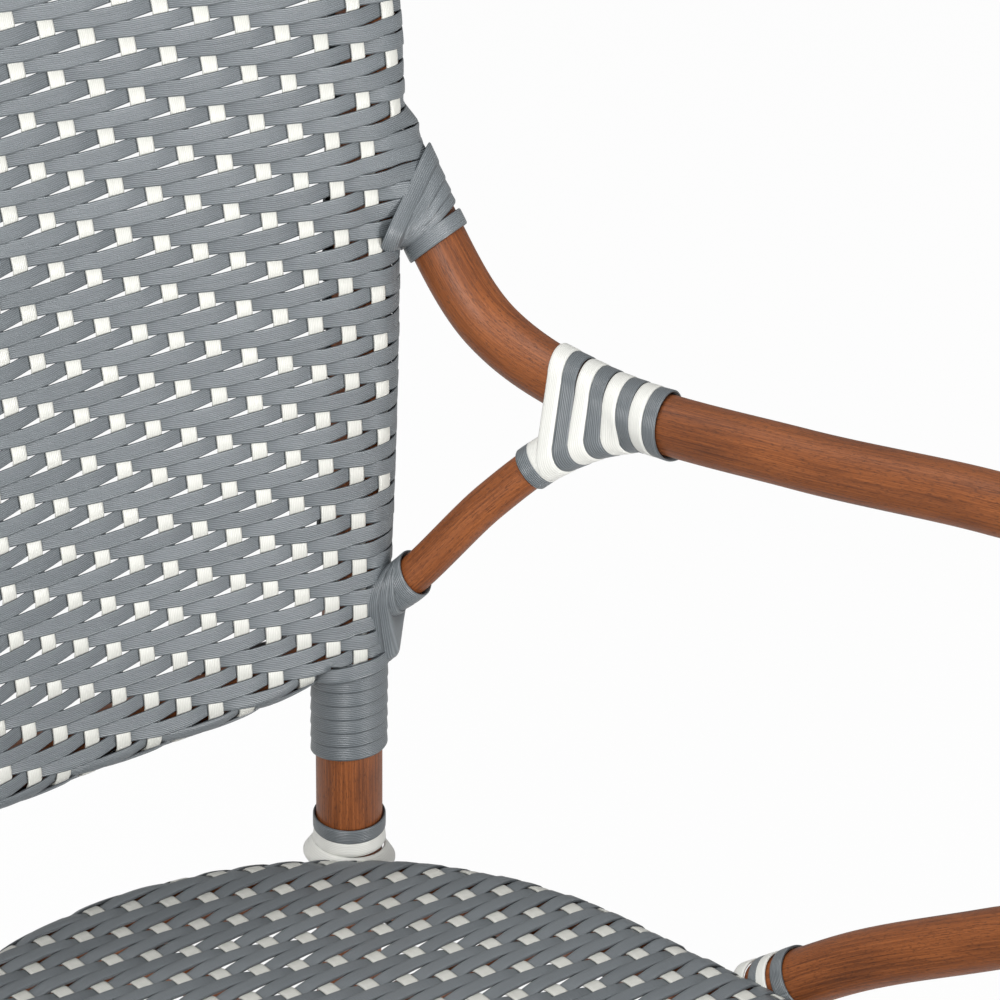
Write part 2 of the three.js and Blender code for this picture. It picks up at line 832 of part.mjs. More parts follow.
function sectionOf(member, origin, normal) {
  const { curve, radius } = member;
  const height = (p) => p.clone().sub(origin).dot(normal);
  const samples = 60;
  let best = null;
  for (let i = 0; i < samples; i += 1) {
    const from = height(curve.getPointAt(i / samples));
    const to = height(curve.getPointAt((i + 1) / samples));
    if (from * to <= 0) {
      const share = shareWhere(curve, height, 0, i / samples, (i + 1) / samples);
      const centre = curve.getPointAt(share);
      if (best === null || centre.distanceTo(origin) < best.centre.distanceTo(origin)) {
        best = { centre, tangent: curve.getTangentAt(share) };
      }
    }
  }
  if (best === null) {
    return null;
  }
  const slant = Math.abs(best.tangent.dot(normal));
  const long = best.tangent.clone().addScaledVector(normal, -best.tangent.dot(normal));
  if (long.lengthSq() > 0) {
    long.normalize();
  }
  return { centre: best.centre, long, radius, reach: radius / slant };
}

// The hull's farthest point in a direction that lies in the winding's plane

function hullPoint(sections, direction) {
  let best = null;
  for (const { centre, long, radius, reach } of sections) {
    const alongLong = direction.dot(long);
    const acrossSquare = 1 - alongLong * alongLong;
    const support = Math.sqrt(radius * radius * acrossSquare + reach * reach * alongLong * alongLong);
    const offset = direction.clone().addScaledVector(long, -alongLong).multiplyScalar(radius * radius);
    offset.addScaledVector(long, reach * reach * alongLong).divideScalar(support);
    const distance = centre.dot(direction) + support;
    if (best === null || distance > best.distance) {
      best = { distance, place: centre.clone().add(offset) };
    }
  }
  return best.place;
}

function windingPath({ members, origin, normal, start, pitch, turns, steps, gap = windingGap }) {
  const across = normal.clone().cross(Math.abs(normal.z) < Math.SQRT1_2 ? up : point(1, 0, 0)).normalize();
  const third = normal.clone().cross(across);
  const count = Math.round(turns * steps);
  const slack = 1 / Math.cos(Math.PI / steps);
  const path = [];
  for (let i = 0; i <= count; i += 1) {
    const angle = (2 * Math.PI * i) / steps;
    const outward = across.clone().multiplyScalar(Math.cos(angle)).addScaledVector(third, Math.sin(angle));
    const edges = [-stripWidth / 2, stripWidth / 2].map((shift) => {
      const level = start + (pitch * i) / steps + shift;
      const place = origin.clone().addScaledVector(normal, level);
      const found = members.map((member) => sectionOf(member, place, normal)).filter((s) => s !== null);
      return hullPoint(found.map((s) => ({
        ...s,
        radius: (s.radius + gap) * slack,
        reach: (s.reach + gap) * slack,
      })), outward);
    });
    path.push({ edges, outward });
  }
  return path;
}

// A strip of rectangular section along a winding path

function strip(path) {
  const positions = [];
  for (const { edges, outward } of path) {
    for (const [edge, depth] of [[0, 0], [1, 0], [1, 1], [0, 1]]) {
      const corner = edges[edge].clone().addScaledVector(outward, depth * stripThickness);
      positions.push(...corner.toArray());
    }
  }
  const triangles = [0, 1, 2, 0, 2, 3];
  for (let i = 0; i + 1 < path.length; i += 1) {
    for (let k = 0; k < 4; k += 1) {
      const a = 4 * i + k;
      const b = 4 * i + ((k + 1) % 4);
      triangles.push(a, a + 4, b, b, a + 4, b + 4);
    }
  }
  const last = 4 * (path.length - 1);
  triangles.push(last, last + 2, last + 1, last, last + 3, last + 2);
  const geometry = new THREE.BufferGeometry();
  geometry.setAttribute('position', new THREE.Float32BufferAttribute(positions, 3));
  geometry.setIndex(triangles);
  return facingOut(geometry);
}

function leastGap(path, steps) {
  let least = Infinity;
  path.forEach((a, i) => {
    path.slice(i + Math.round(0.75 * steps)).forEach((b) => {
      least = Math.min(least, a.edges[1].distanceTo(b.edges[0]));
    });
  });
  return least;
}

function bind(name, finish, winding, cutters = []) {
  const path = windingPath(winding);
  if (winding.turns > 1) {
    console.log(`${name}: least gap to itself ${leastGap(path, winding.steps).toFixed(2)} mm`);
  }
  const geometry = strip(path);
  if (cutters.length === 0) {
    addMesh(name, geometry, finish);
  } else {
    addSolid(name, cut(toSolid(geometry), cutters), finish);
  }
}

// One turn that closes on itself but for a small gap

function ring(members, origin, normal, start) {
  return { members, origin, normal, start, pitch: 0, turns: ringTurnShare, steps: wrapSteps };
}

// Poles into the model

sides.forEach(([name, side], i) => {
  const clearance = seatGap;
  addSolid(`rear_post_${name}`, cut(solidPole(posts[i]), [footCut(posts[i]), postScrews[i].hole]), 'rattan');
  addSolid(`front_leg_${name}`, cut(solidPole(frontLegs[i]), [
    footCut(frontLegs[i]), solidPole(seatFrontRail, clearance),
  ]), 'rattan');
  addSolid(`arm_${name}`, cut(solidPole(arms[i]), [
    solidPole(posts[i], clearance), solidPole(seatSideRails[i], clearance), armScrews[i].hole,
  ]), 'rattan');
  addSolid(`arm_brace_${name}`, cut(solidPole(braces[i]), [
    solidPole(posts[i], clearance), solidPole(arms[i], clearance),
  ]), 'rattan');
  addSolid(`seat_rail_${name}`, cut(solidPole(seatSideRails[i]), [armScrews[i].hole]), 'rattan');
  addMesh(`post_screw_${name}`, postScrews[i].body, 'steel');
  addMesh(`arm_screw_${name}`, armScrews[i].body, 'steel');
  for (const end of ['front', 'rear']) {
    addMesh(`glide_${end}_${name}`, glide(footLegs[end][i]), 'plastic');
  }
});

addSolid('top_rail', solidPole(crest), 'rattan');
addSolid('back_bottom_rail', cut(solidPole(bottomRail), posts.map((p) => solidPole(p, seatGap))), 'rattan');
addSolid('seat_rail_rear', cut(solidPole(seatRearRail), postScrews.map((s) => s.hole)), 'rattan');
addSolid('seat_rail_front', solidPole(seatFrontRail), 'rattan');
crossBars.forEach((bar, i) => {
  const name = `seat_cross_bar_${['rear', 'front'][i]}`;
  addSolid(name, cut(solidPole(bar), seatRails.map((p) => solidPole(p, seatGap))), 'rattan');
});
const legCuts = [...frontLegs, ...posts].map((p) => solidPole(p, seatGap));
Object.entries(arches).forEach(([name, arch]) => {
  addSolid(`leg_arch_${name}`, cut(solidPole(arch), legCuts), 'rattan');
});
addSolid('woven_back', wovenBack(), 'weave');
addSolid('woven_seat', wovenSeat(), 'weave');

// Bindings into the model

sides.forEach(([name, side], i) => {
  const [arm, brace, post, leg] = [arms[i], braces[i], posts[i], frontLegs[i]];

  // Two strips, white and grey, wound together round arm and brace
  const stripeShare = shareWhere(arm.curve, setbackOf, stripeSetback, 0, 1 / 2);
  const stripeOrigin = arm.curve.getPointAt(stripeShare);
  const braceNear = brace.curve.getTangentAt(stripeBraceShare);
  const stripeNormal = arm.curve.getTangentAt(stripeShare).addScaledVector(braceNear, stripeTiltShare);
  stripeNormal.normalize();
  ['white', 'grey'].forEach((colour, k) => bind(`stripe_wrap_${colour}_${name}`, colour, {
    members: [arm, brace],
    origin: stripeOrigin,
    normal: stripeNormal,
    start: k * stripPitch,
    pitch: 2 * stripPitch,
    turns: stripeTurns,
    steps: stripeSteps,
  }));

  // Collars on the brace, clear of the first stripe
  const meeting = sectionOf(brace, stripeOrigin, stripeNormal);
  const meetingShare = shareWhere(
    brace.curve,
    (p) => p.clone().sub(meeting.centre).dot(stripeNormal),
    0,
    0,
    1,
  );
  const collarNormal = brace.curve.getTangentAt(meetingShare);
  const slant = collarNormal.dot(stripeNormal);
  const lean = (braceRadius + 2 * stripThickness) * Math.sqrt(1 - slant * slant) / slant;
  const collarStart = -(lean + stripWidth / slant);
  ['white', 'grey'].forEach((colour, k) => bind(
    `brace_collar_${colour}_${name}`,
    colour,
    ring([brace], meeting.centre, collarNormal, collarStart - k * stripPitch),
  ));

  // Wraps where arm and brace are clear of the post's skin
  for (const [part, branch] of [['arm', arm], ['brace', brace]]) {
    const clear = clearOfPost(branch.radius);
    const share = shareWhere(branch.curve, (p) => distanceTo(post.curve, p), clear, 0, 1 / 2);
    const normal = branch.curve.getTangentAt(share);
    bind(`${part}_root_wrap_${name}`, 'grey', {
      members: [branch],
      origin: branch.curve.getPointAt(share),
      normal,
      start: 0,
      pitch: wrapPitch,
      turns: rootWrapTurns,
      steps: wrapSteps,
    });
  }

  // Wrap on the post under the back, then the ring and the band on the seat
  const wrapTop = waistLevel - bottomRailRadius - postWrapDrop;
  bind(`post_wrap_${name}`, 'grey', {
    members: [post],
    origin: onPost(wrapTop, side),
    normal: postTangent(wrapTop, side).negate(),
    start: 0,
    pitch: wrapPitch,
    turns: postWrapTurns,
    steps: wrapSteps,
  });
  const bandLevel = seatHeight + bandLift + stripWidth / 2;
  ['white', 'grey'].forEach((colour, k) => bind(
    `seat_post_ring_${colour}_${name}`,
    colour,
    { ...ring([post], onPost(bandLevel, side), postTangent(bandLevel, side), k * stripPitch), gap: seatGap },
  ));

  // Rings where the arm comes back to the seat, clear of the seat's skin
  const rail = seatSideRails[i];
  const clearOfRail = rail.radius + skinDepth + arm.radius + stripThickness + rootClearance;
  const endShare = shareWhere(arm.curve, (p) => distanceTo(rail.curve, p), clearOfRail, 3 / 4, 1);
  const endTip = arm.curve.getPointAt(endShare);
  ['white', 'grey'].forEach((colour, k) => {
    const back = k * (stripWidth + endRingSpacing);
    const share = shareWhere(arm.curve, (p) => p.distanceTo(endTip), back, endShare, 3 / 4);
    const origin = arm.curve.getPointAt(share);
    bind(
      `arm_end_ring_${colour}_${name}`,
      colour,
      { ...ring([arm], origin, arm.curve.getTangentAt(share), 0), gap: seatGap },
    );
  });

  // Wraps round each leg with the two arches that lap it
  const lapLevel = archFootHeight + stripWidth;
  [['front', leg, [arches.front, arches[name]]], ['rear', post, [arches.rear, arches[name]]]].forEach(
    ([end, upright, lapped]) => {
      const origin = onLine(upright.curve, lapLevel);
      bind(`${end}_leg_wrap_${name}`, 'grey', {
        members: [upright, ...lapped],
        origin,
        normal: up,
        start: 0,
        pitch: wrapPitch,
        turns: legWrapTurns,
        steps: stripeSteps,
      });
    },
  );

  // Wrap at the top of the front leg, under the seat
  const topLevel = seatRailLevel - seatRailRadius - skinDepth - legTopWrapDrop;
  bind(`front_leg_top_wrap_${name}`, 'grey', {
    members: [leg],
    origin: onLine(leg.curve, topLevel),
    normal: leg.curve.getTangentAt(1).negate(),
    start: 0,
    pitch: wrapPitch,
    turns: legTopWrapTurns,
    steps: wrapSteps,
    gap: seatGap,
  });
});

// The origin is the middle of the footprint, on the floor

const box = new THREE.Box3().setFromObject(chair);
const middle = box.getCenter(point(0, 0, 0));
chair.position.set(-middle.x, -middle.y, -box.min.z);
console.log(`overall ${box.getSize(point(0, 0, 0)).toArray().map((v) => v.toFixed(1)).join(' x ')} mm`);
console.log(`origin moved ${chair.position.toArray().map((v) => v.toFixed(2)).join(', ')} mm`);

export default chair;
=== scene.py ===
"""Rattan bistro armchair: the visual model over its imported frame.

Lengths are millimetres in the frame of the part's source. `placed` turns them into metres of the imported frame, whose
origin is the middle of the footprint. The front faces -Y and +X is the sitter's left.
"""

import json
import logging
from dataclasses import dataclass, field
from enum import Enum
from typing import Callable

import bpy
import numpy as np
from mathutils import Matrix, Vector

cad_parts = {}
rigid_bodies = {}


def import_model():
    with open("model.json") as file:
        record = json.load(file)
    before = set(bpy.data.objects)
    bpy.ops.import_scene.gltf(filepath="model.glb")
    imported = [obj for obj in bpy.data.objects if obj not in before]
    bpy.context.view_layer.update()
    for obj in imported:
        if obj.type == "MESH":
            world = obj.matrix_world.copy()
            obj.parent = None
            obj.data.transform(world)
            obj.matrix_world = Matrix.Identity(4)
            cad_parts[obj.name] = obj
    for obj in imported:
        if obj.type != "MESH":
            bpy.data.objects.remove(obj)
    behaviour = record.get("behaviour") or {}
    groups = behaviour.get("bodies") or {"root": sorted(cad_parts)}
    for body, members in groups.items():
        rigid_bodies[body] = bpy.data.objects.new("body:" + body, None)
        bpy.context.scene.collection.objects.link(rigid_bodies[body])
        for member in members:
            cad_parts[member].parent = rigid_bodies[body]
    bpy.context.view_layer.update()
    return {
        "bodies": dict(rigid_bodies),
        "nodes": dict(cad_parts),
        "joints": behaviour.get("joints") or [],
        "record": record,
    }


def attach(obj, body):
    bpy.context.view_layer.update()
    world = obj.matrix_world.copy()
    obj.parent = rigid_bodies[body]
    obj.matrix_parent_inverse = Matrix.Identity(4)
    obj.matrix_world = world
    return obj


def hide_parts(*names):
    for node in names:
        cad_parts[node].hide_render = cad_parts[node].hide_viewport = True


LOG = logging.getLogger("chair")
Array = np.ndarray
Measure = Callable[[Array], Array]

SOURCE_SHIFT = np.array([0.0, -8.58, 0.0])
MILLIMETRE = 0.001
WEAVE_SUNK = 1.3  # how far the middle of the seat's weave lies under the seat's height
X, Y, UP = np.eye(3)
TURN = 2 * np.pi
WHITE = (1.0, 1.0, 1.0, 1.0)


def placed(points: Array) -> Array:
    """Points of the source frame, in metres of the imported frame."""
    return (points + SOURCE_SHIFT) * MILLIMETRE


def unit(vectors: Array) -> Array:
    """Vectors divided by their lengths."""
    return vectors / np.linalg.norm(vectors, axis=-1, keepdims=True)


def y_of(points: Array) -> Array:
    """Y of points, as a measure along a line."""
    return points[:, 1]


def z_of(points: Array) -> Array:
    """Z of points, as a measure along a line."""
    return points[:, 2]


def dot(a: Array, b: Array) -> Array:
    """Dot products of the last axis, which is kept."""
    return np.sum(a * b, axis=-1, keepdims=True)


def mirrored(points: Array, side: float) -> Array:
    """Points with X times side, so -1 gives the sitter's right."""
    return np.asarray(points, float) * np.array([side, 1.0, 1.0])


class Side(Enum):
    """The chair's two sides, by the sign of X."""

    LEFT = 1
    RIGHT = -1

    @property
    def label(self) -> str:
        """The side's word in node names."""
        return self.name.lower()

    @property
    def first(self) -> float:
        """The turn at which a mirrored winding starts, so that both sides' ends lie alike."""
        return -0.5 if self is Side.LEFT else 0.0


SIDES = (Side.LEFT, Side.RIGHT)


# Sizes of the frame, as in the part's source


@dataclass(frozen=True)
class Sizes:
    """Named sizes of the chair, the same as the source's."""

    post_radius: float = 15.0
    leg_radius: float = 15.0
    arm_radius: float = 13.0
    rail_radius: float = 12.0
    brace_radius: float = 8.5
    arch_radius: float = 8.5
    bar_radius: float = 8.0
    gap: float = 0.3
    skin: float = 2.7
    seat_height: float = 455.0
    seat_radius: float = 177.0
    seat_front: float = 236.0
    seat_corner: float = 60.0
    flare: float = np.radians(9.0)
    post_place: float = np.radians(51.8)
    foot_half: float = 146.0
    foot_back: float = 68.0
    shin_height: float = 230.0
    shin_half: float = 134.0
    shin_back: float = 20.0
    waist_rise: float = 92.0
    waist_half: float = 128.0
    waist_back: float = -1.0
    chest_half: float = 152.7
    chest_back: float = 20.0
    chest_share: float = 0.56
    shoulder_half: float = 178.0
    shoulder_back: float = 51.0
    crest_rise: float = 434.0
    crest_arch: float = 6.0
    crest_corner: float = 50.0
    crest_back: float = 75.4
    dish: float = 16.0
    sag: float = 10.0
    arm_root_rise: float = 322.0
    arm_root_out: float = 11.0
    arm_route: tuple = (
        (185.4, 177.3, 284.0),
        (194.0, 142.5, 241.8),
        (208.4, 84.4, 224.0),
        (233.4, -16.0, 227.5),
        (256.3, -108.0, 237.0),
    )
    crown_rise: float = 239.0
    crown_half: float = 267.0
    crown_reach: float = 161.0
    curl_radius: float = 80.0
    curl_half: float = 270.0
    curl_turn: float = 149.0
    curl_end_half: float = 252.0
    return_half: float = 220.0
    return_reach: float = 80.0
    return_rise: float = 18.0
    end_out: float = 21.0
    end_reach: float = 36.0
    brace_rise: float = 117.0
    brace_lap: float = 61.0
    brace_route: tuple = ((0.155, 0.1), (0.48, 0.57), (0.69, 0.82), (0.85, 0.94))
    foot_spread: float = 8.0
    leg_share: float = 0.5
    arch_foot: float = 190.0
    arch_lap: float = 45.0
    arch_route: tuple = ((0.07, 0.52), (0.19, 0.82), (0.34, 0.96))
    glide_height: float = 6.0
    bar_drop: float = 3.0
    bar_reaches: tuple = (-60.0, 110.0)

    @property
    def rail_level(self) -> float:
        """Height of the seat rails' middle line."""
        return self.seat_height - self.skin - self.rail_radius

    @property
    def crest_level(self) -> float:
        """Height of the crest's middle line."""
        return self.seat_height + self.crest_rise

    @property
    def waist_level(self) -> float:
        """Height of the back's lower rail."""
        return self.seat_height + self.waist_rise

    @property
    def shoulder_level(self) -> float:
        """Height at which the posts turn into the crest."""
        return self.crest_level - self.crest_arch - self.crest_corner


# Lines


class Line:
    """A curve over a share from 0 to 1."""

    def at(self, share: Array) -> Array:
        """Points at the shares."""
        raise NotImplementedError

    def samples(self, count: int) -> Array:
        """Points at even shares, both ends among them."""
        return self.at(np.linspace(0.0, 1.0, count))

    def share_where(self, measure: Measure, value: float, start: float = 0.0, end: float = 1.0) -> float:
        """The share between two others at which a measure of the points first reaches a value."""
        shares = np.linspace(start, end, 2001)
        heights = measure(self.at(shares)) - value
        crossing = np.nonzero(heights[:-1] * heights[1:] <= 0)[0]
        i = crossing[0] if len(crossing) else int(np.argmin(np.abs(heights[:-1])))
        span = heights[i + 1] - heights[i]
        part = -heights[i] / span if span else 0.0
        return float(shares[i] + (shares[i + 1] - shares[i]) * np.clip(part, 0, 1))


@dataclass
class Bend(Line):
    """A centripetal Catmull-Rom curve through points, whose share follows the points."""

    points: Array

    def at(self, share: Array) -> Array:
        """Hermite cubics between the points, with tangents from knot steps of distance to the power of a half."""
        points = np.asarray(self.points, float)
        padded = np.vstack([2 * points[0] - points[1], points, 2 * points[-1] - points[-2]])
        count = len(points)
        place = np.clip(np.atleast_1d(share), 0, 1) * (count - 1)
        i = np.clip(np.floor(place).astype(int), 0, count - 2)
        w = (place - i)[:, None]
        p0, p1, p2, p3 = (padded[i + k] for k in range(4))
        d0, d1, d2 = (np.sqrt(np.linalg.norm(b - a, axis=1))[:, None]
                      for a, b in ((p0, p1), (p1, p2), (p2, p3)))
        t1 = ((p1 - p0) / d0 - (p2 - p0) / (d0 + d1) + (p2 - p1) / d1) * d1
        t2 = ((p2 - p1) / d1 - (p3 - p1) / (d1 + d2) + (p3 - p2) / d2) * d1
        square, cube = 3 * (p2 - p1) - 2 * t1 - t2, 2 * (p1 - p2) + t1 + t2
        return p1 + t1 * w + square * w**2 + cube * w**3


@dataclass
class Stretch(Line):
    """The part of another line between two of its shares."""

    line: Line
    start: float
    end: float

    def at(self, share: Array) -> Array:
        """Points at shares of the stretch."""
        return self.line.at(self.start + (self.end - self.start) * np.asarray(share))


@dataclass
class Straight(Line):
    """A straight line between two points."""

    start: Array
    end: Array

    def at(self, share: Array) -> Array:
        """start + (end - start) * share."""
        return self.start + (self.end - self.start) * np.atleast_1d(share)[:, None]


@dataclass
class Arc(Line):
    """A level arc round a centre, between two angles."""

    centre: Array
    radius: float
    start: float
    end: float

    def at(self, share: Array) -> Array:
        """centre + radius * (cos angle, sin angle, 0)."""
        angle = self.start + (self.end - self.start) * np.atleast_1d(share)
        return self.centre + self.radius * np.stack([np.cos(angle), np.sin(angle), 0 * angle], axis=1)


def joined(lines: list[Line], spacing: float) -> Array:
    """Points along lines that follow each other, spaced evenly on each, with no point twice."""
    parts = []
    for line in lines:
        length = np.linalg.norm(np.diff(line.samples(200), axis=0), axis=1).sum()
        parts.append(line.samples(max(2, int(length / spacing) + 1))[:-1])
    parts.append(lines[-1].at(np.array([1.0])))
    return np.vstack(parts)


def lengths_along(points: Array) -> Array:
    """Distance along a run of points from its first."""
    return np.concatenate([[0.0], np.cumsum(np.linalg.norm(np.diff(points, axis=0), axis=1))])


# Meshes


@dataclass
class Shells:
    """Closed shells that become one piece: points, four-sided faces, end faces, grain coordinates and tones.

    All the shells of a piece have the same number of points round their profile.
    """

    points: list = field(default_factory=list)
    quads: list = field(default_factory=list)
    caps: list = field(default_factory=list)
    grain: list = field(default_factory=list)
    tone: list = field(default_factory=list)
    count: int = 0

    def sweep(self, rings: Array, grain: Array, tone: float) -> None:
        """Add a profile carried along a path, closed at both ends, with its faces outwards.

        Args:
            rings: Points of the profile at each step of the path, [steps, profile, 3].
            grain: Straightened coordinates of the same points: across, deep and along, in millimetres.
            tone: A number from 0 to 1 that tells this shell from its neighbours.
        """
        steps, sides = rings.shape[:2]
        index = np.arange(steps * sides).reshape(steps, sides)
        following = np.roll(index, -1, axis=1)
        quads = np.stack([index[:-1], following[:-1], following[1:], index[1:]], axis=-1).reshape(-1, 4)
        caps = np.stack([index[0][::-1], index[-1]])
        points = rings.reshape(-1, 3)
        if self._volume(points, quads) < 0:
            quads, caps = quads[:, ::-1], caps[:, ::-1]
        self.points.append(points)
        self.quads.append(quads + self.count)
        self.caps.append(caps + self.count)
        self.grain.append(grain.reshape(-1, 3))
        self.tone.append(np.full(len(points), tone))
        self.count += len(points)

    @staticmethod
    def _volume(points: Array, quads: Array) -> float:
        """Six times the volume inside the faces, seen from the middle of the points."""
        a, b, c, d = (points[quads[:, k]] - points.mean(axis=0) for k in range(4))
        return float(np.sum(a * np.cross(b, c)) + np.sum(a * np.cross(c, d)))

    def piece(self, name: str, material: bpy.types.Material, slot: str, *nodes: str) -> bpy.types.Object:
        """Make one object of the shells.

        Args:
            name: The piece's name.
            material: Its material.
            slot: The record's material slot; not used.
            nodes: CAD nodes that it stands for.

        Returns:
            The object, riding on the root body.
        """
        points = placed(np.vstack(self.points))
        quads, caps = np.vstack(self.quads), np.vstack(self.caps)
        corners = np.concatenate([quads.ravel(), caps.ravel()])
        sizes = np.concatenate([np.full(len(quads), 4), np.full(len(caps), caps.shape[1])])
        starts = np.concatenate([[0], np.cumsum(sizes)[:-1]])
        mesh = bpy.data.meshes.new(name)
        mesh.vertices.add(len(points))
        mesh.vertices.foreach_set("co", points.ravel().astype(np.float32))
        mesh.loops.add(len(corners))
        mesh.loops.foreach_set("vertex_index", corners.astype(np.int32))
        mesh.polygons.add(len(sizes))
        mesh.polygons.foreach_set("loop_start", starts.astype(np.int32))
        mesh.polygons.foreach_set("use_smooth", (np.arange(len(sizes)) < len(quads)))
        mesh.update(calc_edges=True)
        grain = mesh.attributes.new("grain", "FLOAT_VECTOR", "POINT")
        grain.data.foreach_set("vector", np.vstack(self.grain).ravel().astype(np.float32))
        tone = mesh.attributes.new("tone", "FLOAT", "POINT")
        tone.data.foreach_set("value", np.concatenate(self.tone).astype(np.float32))
        mesh.materials.append(material)
        piece = bpy.data.objects.new(name, mesh)
        bpy.context.scene.collection.objects.link(piece)
        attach(piece, "root")
        if nodes:
            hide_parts(*nodes)
        LOG.info("%s: %d faces", name, len(sizes))
        return piece


# Poles


STEEPEST = 0.25  # least cosine between a pole and a plane's normal, so that its section stays short


@dataclass
class Pole:
    """A round pole: its middle line as points, its radius, and a direction that its line never takes."""

    line: Array
    radius: float
    beside: Array

    def part(self, kept: slice | Array) -> "Pole":
        """The part of the pole whose points are kept."""
        return Pole(self.line[kept], self.radius, self.beside)

    def near(self, measure: Measure, value: float) -> tuple[Array, Array]:
        """The point and direction of the line where a measure first comes nearest a value."""
        i = int(np.argmin(np.abs(measure(self.line) - value)))
        i = min(max(i, 1), len(self.line) - 2)
        return self.line[i], unit(self.line[i + 1] - self.line[i - 1])

    def rings(self, sides: int, growth: Array) -> tuple[Array, Array]:
        """Circles round the middle line: point + radius * (a cos t + b sin t), a and b square to the line.

        Args:
            sides: Points in each circle.
            growth: Added to the radius, for each point of the line.

        Returns:
            The points and their straightened coordinates.
        """
        tangent = unit(np.gradient(self.line, axis=0))
        a = unit(self.beside - tangent * dot(tangent, self.beside))
        b = np.cross(tangent, a)
        angle = np.arange(sides) * TURN / sides
        radius = (self.radius + growth)[:, None, None]
        cos, sin = np.cos(angle)[None, :, None], np.sin(angle)[None, :, None]
        points = self.line[:, None] + radius * (a[:, None] * cos + b[:, None] * sin)
        along = np.broadcast_to(lengths_along(self.line)[:, None, None], (len(self.line), sides, 1))
        return points, np.concatenate([radius * cos, radius * sin, along], axis=2)

    def farthest(self, base: Array, lift: Array, outward: Array, normal: Array,
                 near: Array) -> tuple[Array, Array]:
        """Farthest points, outwards, of the pole's slanted sections in some planes.

        Args:
            base: A point of each plane.
            lift: How much the pole is grown for each plane.
            outward: A direction in each plane.
            normal: Each plane's normal.
            near: Where the planes meet the pole, roughly.

        Returns:
            Distances along the outward directions, minus infinity where a plane misses the pole, and the points.
        """
        line, tangent = self.line, unit(np.gradient(self.line, axis=0))
        rise = normal @ line.T - dot(normal, base)
        crossed = rise[:, :-1] * rise[:, 1:] <= 0
        i = np.argmin(np.where(crossed, np.linalg.norm(line[:-1] - near, axis=1), np.inf), axis=1)
        low, high = (rise[np.arange(len(base)), i + k] for k in (0, 1))
        share = (low / np.where(low == high, 1.0, low - high))[:, None]
        centre = line[i] * (1 - share) + line[i + 1] * share
        slope = unit(tangent[i] * (1 - share) + tangent[i + 1] * share)
        slant = np.maximum(np.abs(dot(slope, normal)), STEEPEST)
        long = slope - normal * dot(slope, normal)
        long = long / np.maximum(np.linalg.norm(long, axis=-1, keepdims=True), 1e-9)
        radius = self.radius + lift[:, None]
        reach = radius / slant
        part = dot(outward, long)
        support = np.sqrt(radius**2 * (1 - part**2) + reach**2 * part**2)
        offset = ((outward - part * long) * radius**2 + long * reach**2 * part) / support
        distance = np.where(crossed.any(axis=1)[:, None], dot(centre, outward) + support, -np.inf)
        return distance, centre + offset


@dataclass
class Ball:
    """A round pad of strip ends that a winding goes over."""

    centre: Array
    radius: float

    def farthest(self, base: Array, lift: Array, outward: Array, normal: Array,
                 near: Array) -> tuple[Array, Array]:
        """Farthest points, outwards, of the ball's circles in some planes; arguments as for a pole."""
        away = dot(base - self.centre, normal)
        square = (self.radius + lift[:, None]) ** 2 - away**2
        radius = np.sqrt(np.maximum(square, 0))
        middle = self.centre + away * normal
        return np.where(square > 0, dot(middle, outward) + radius, -np.inf), middle + radius * outward


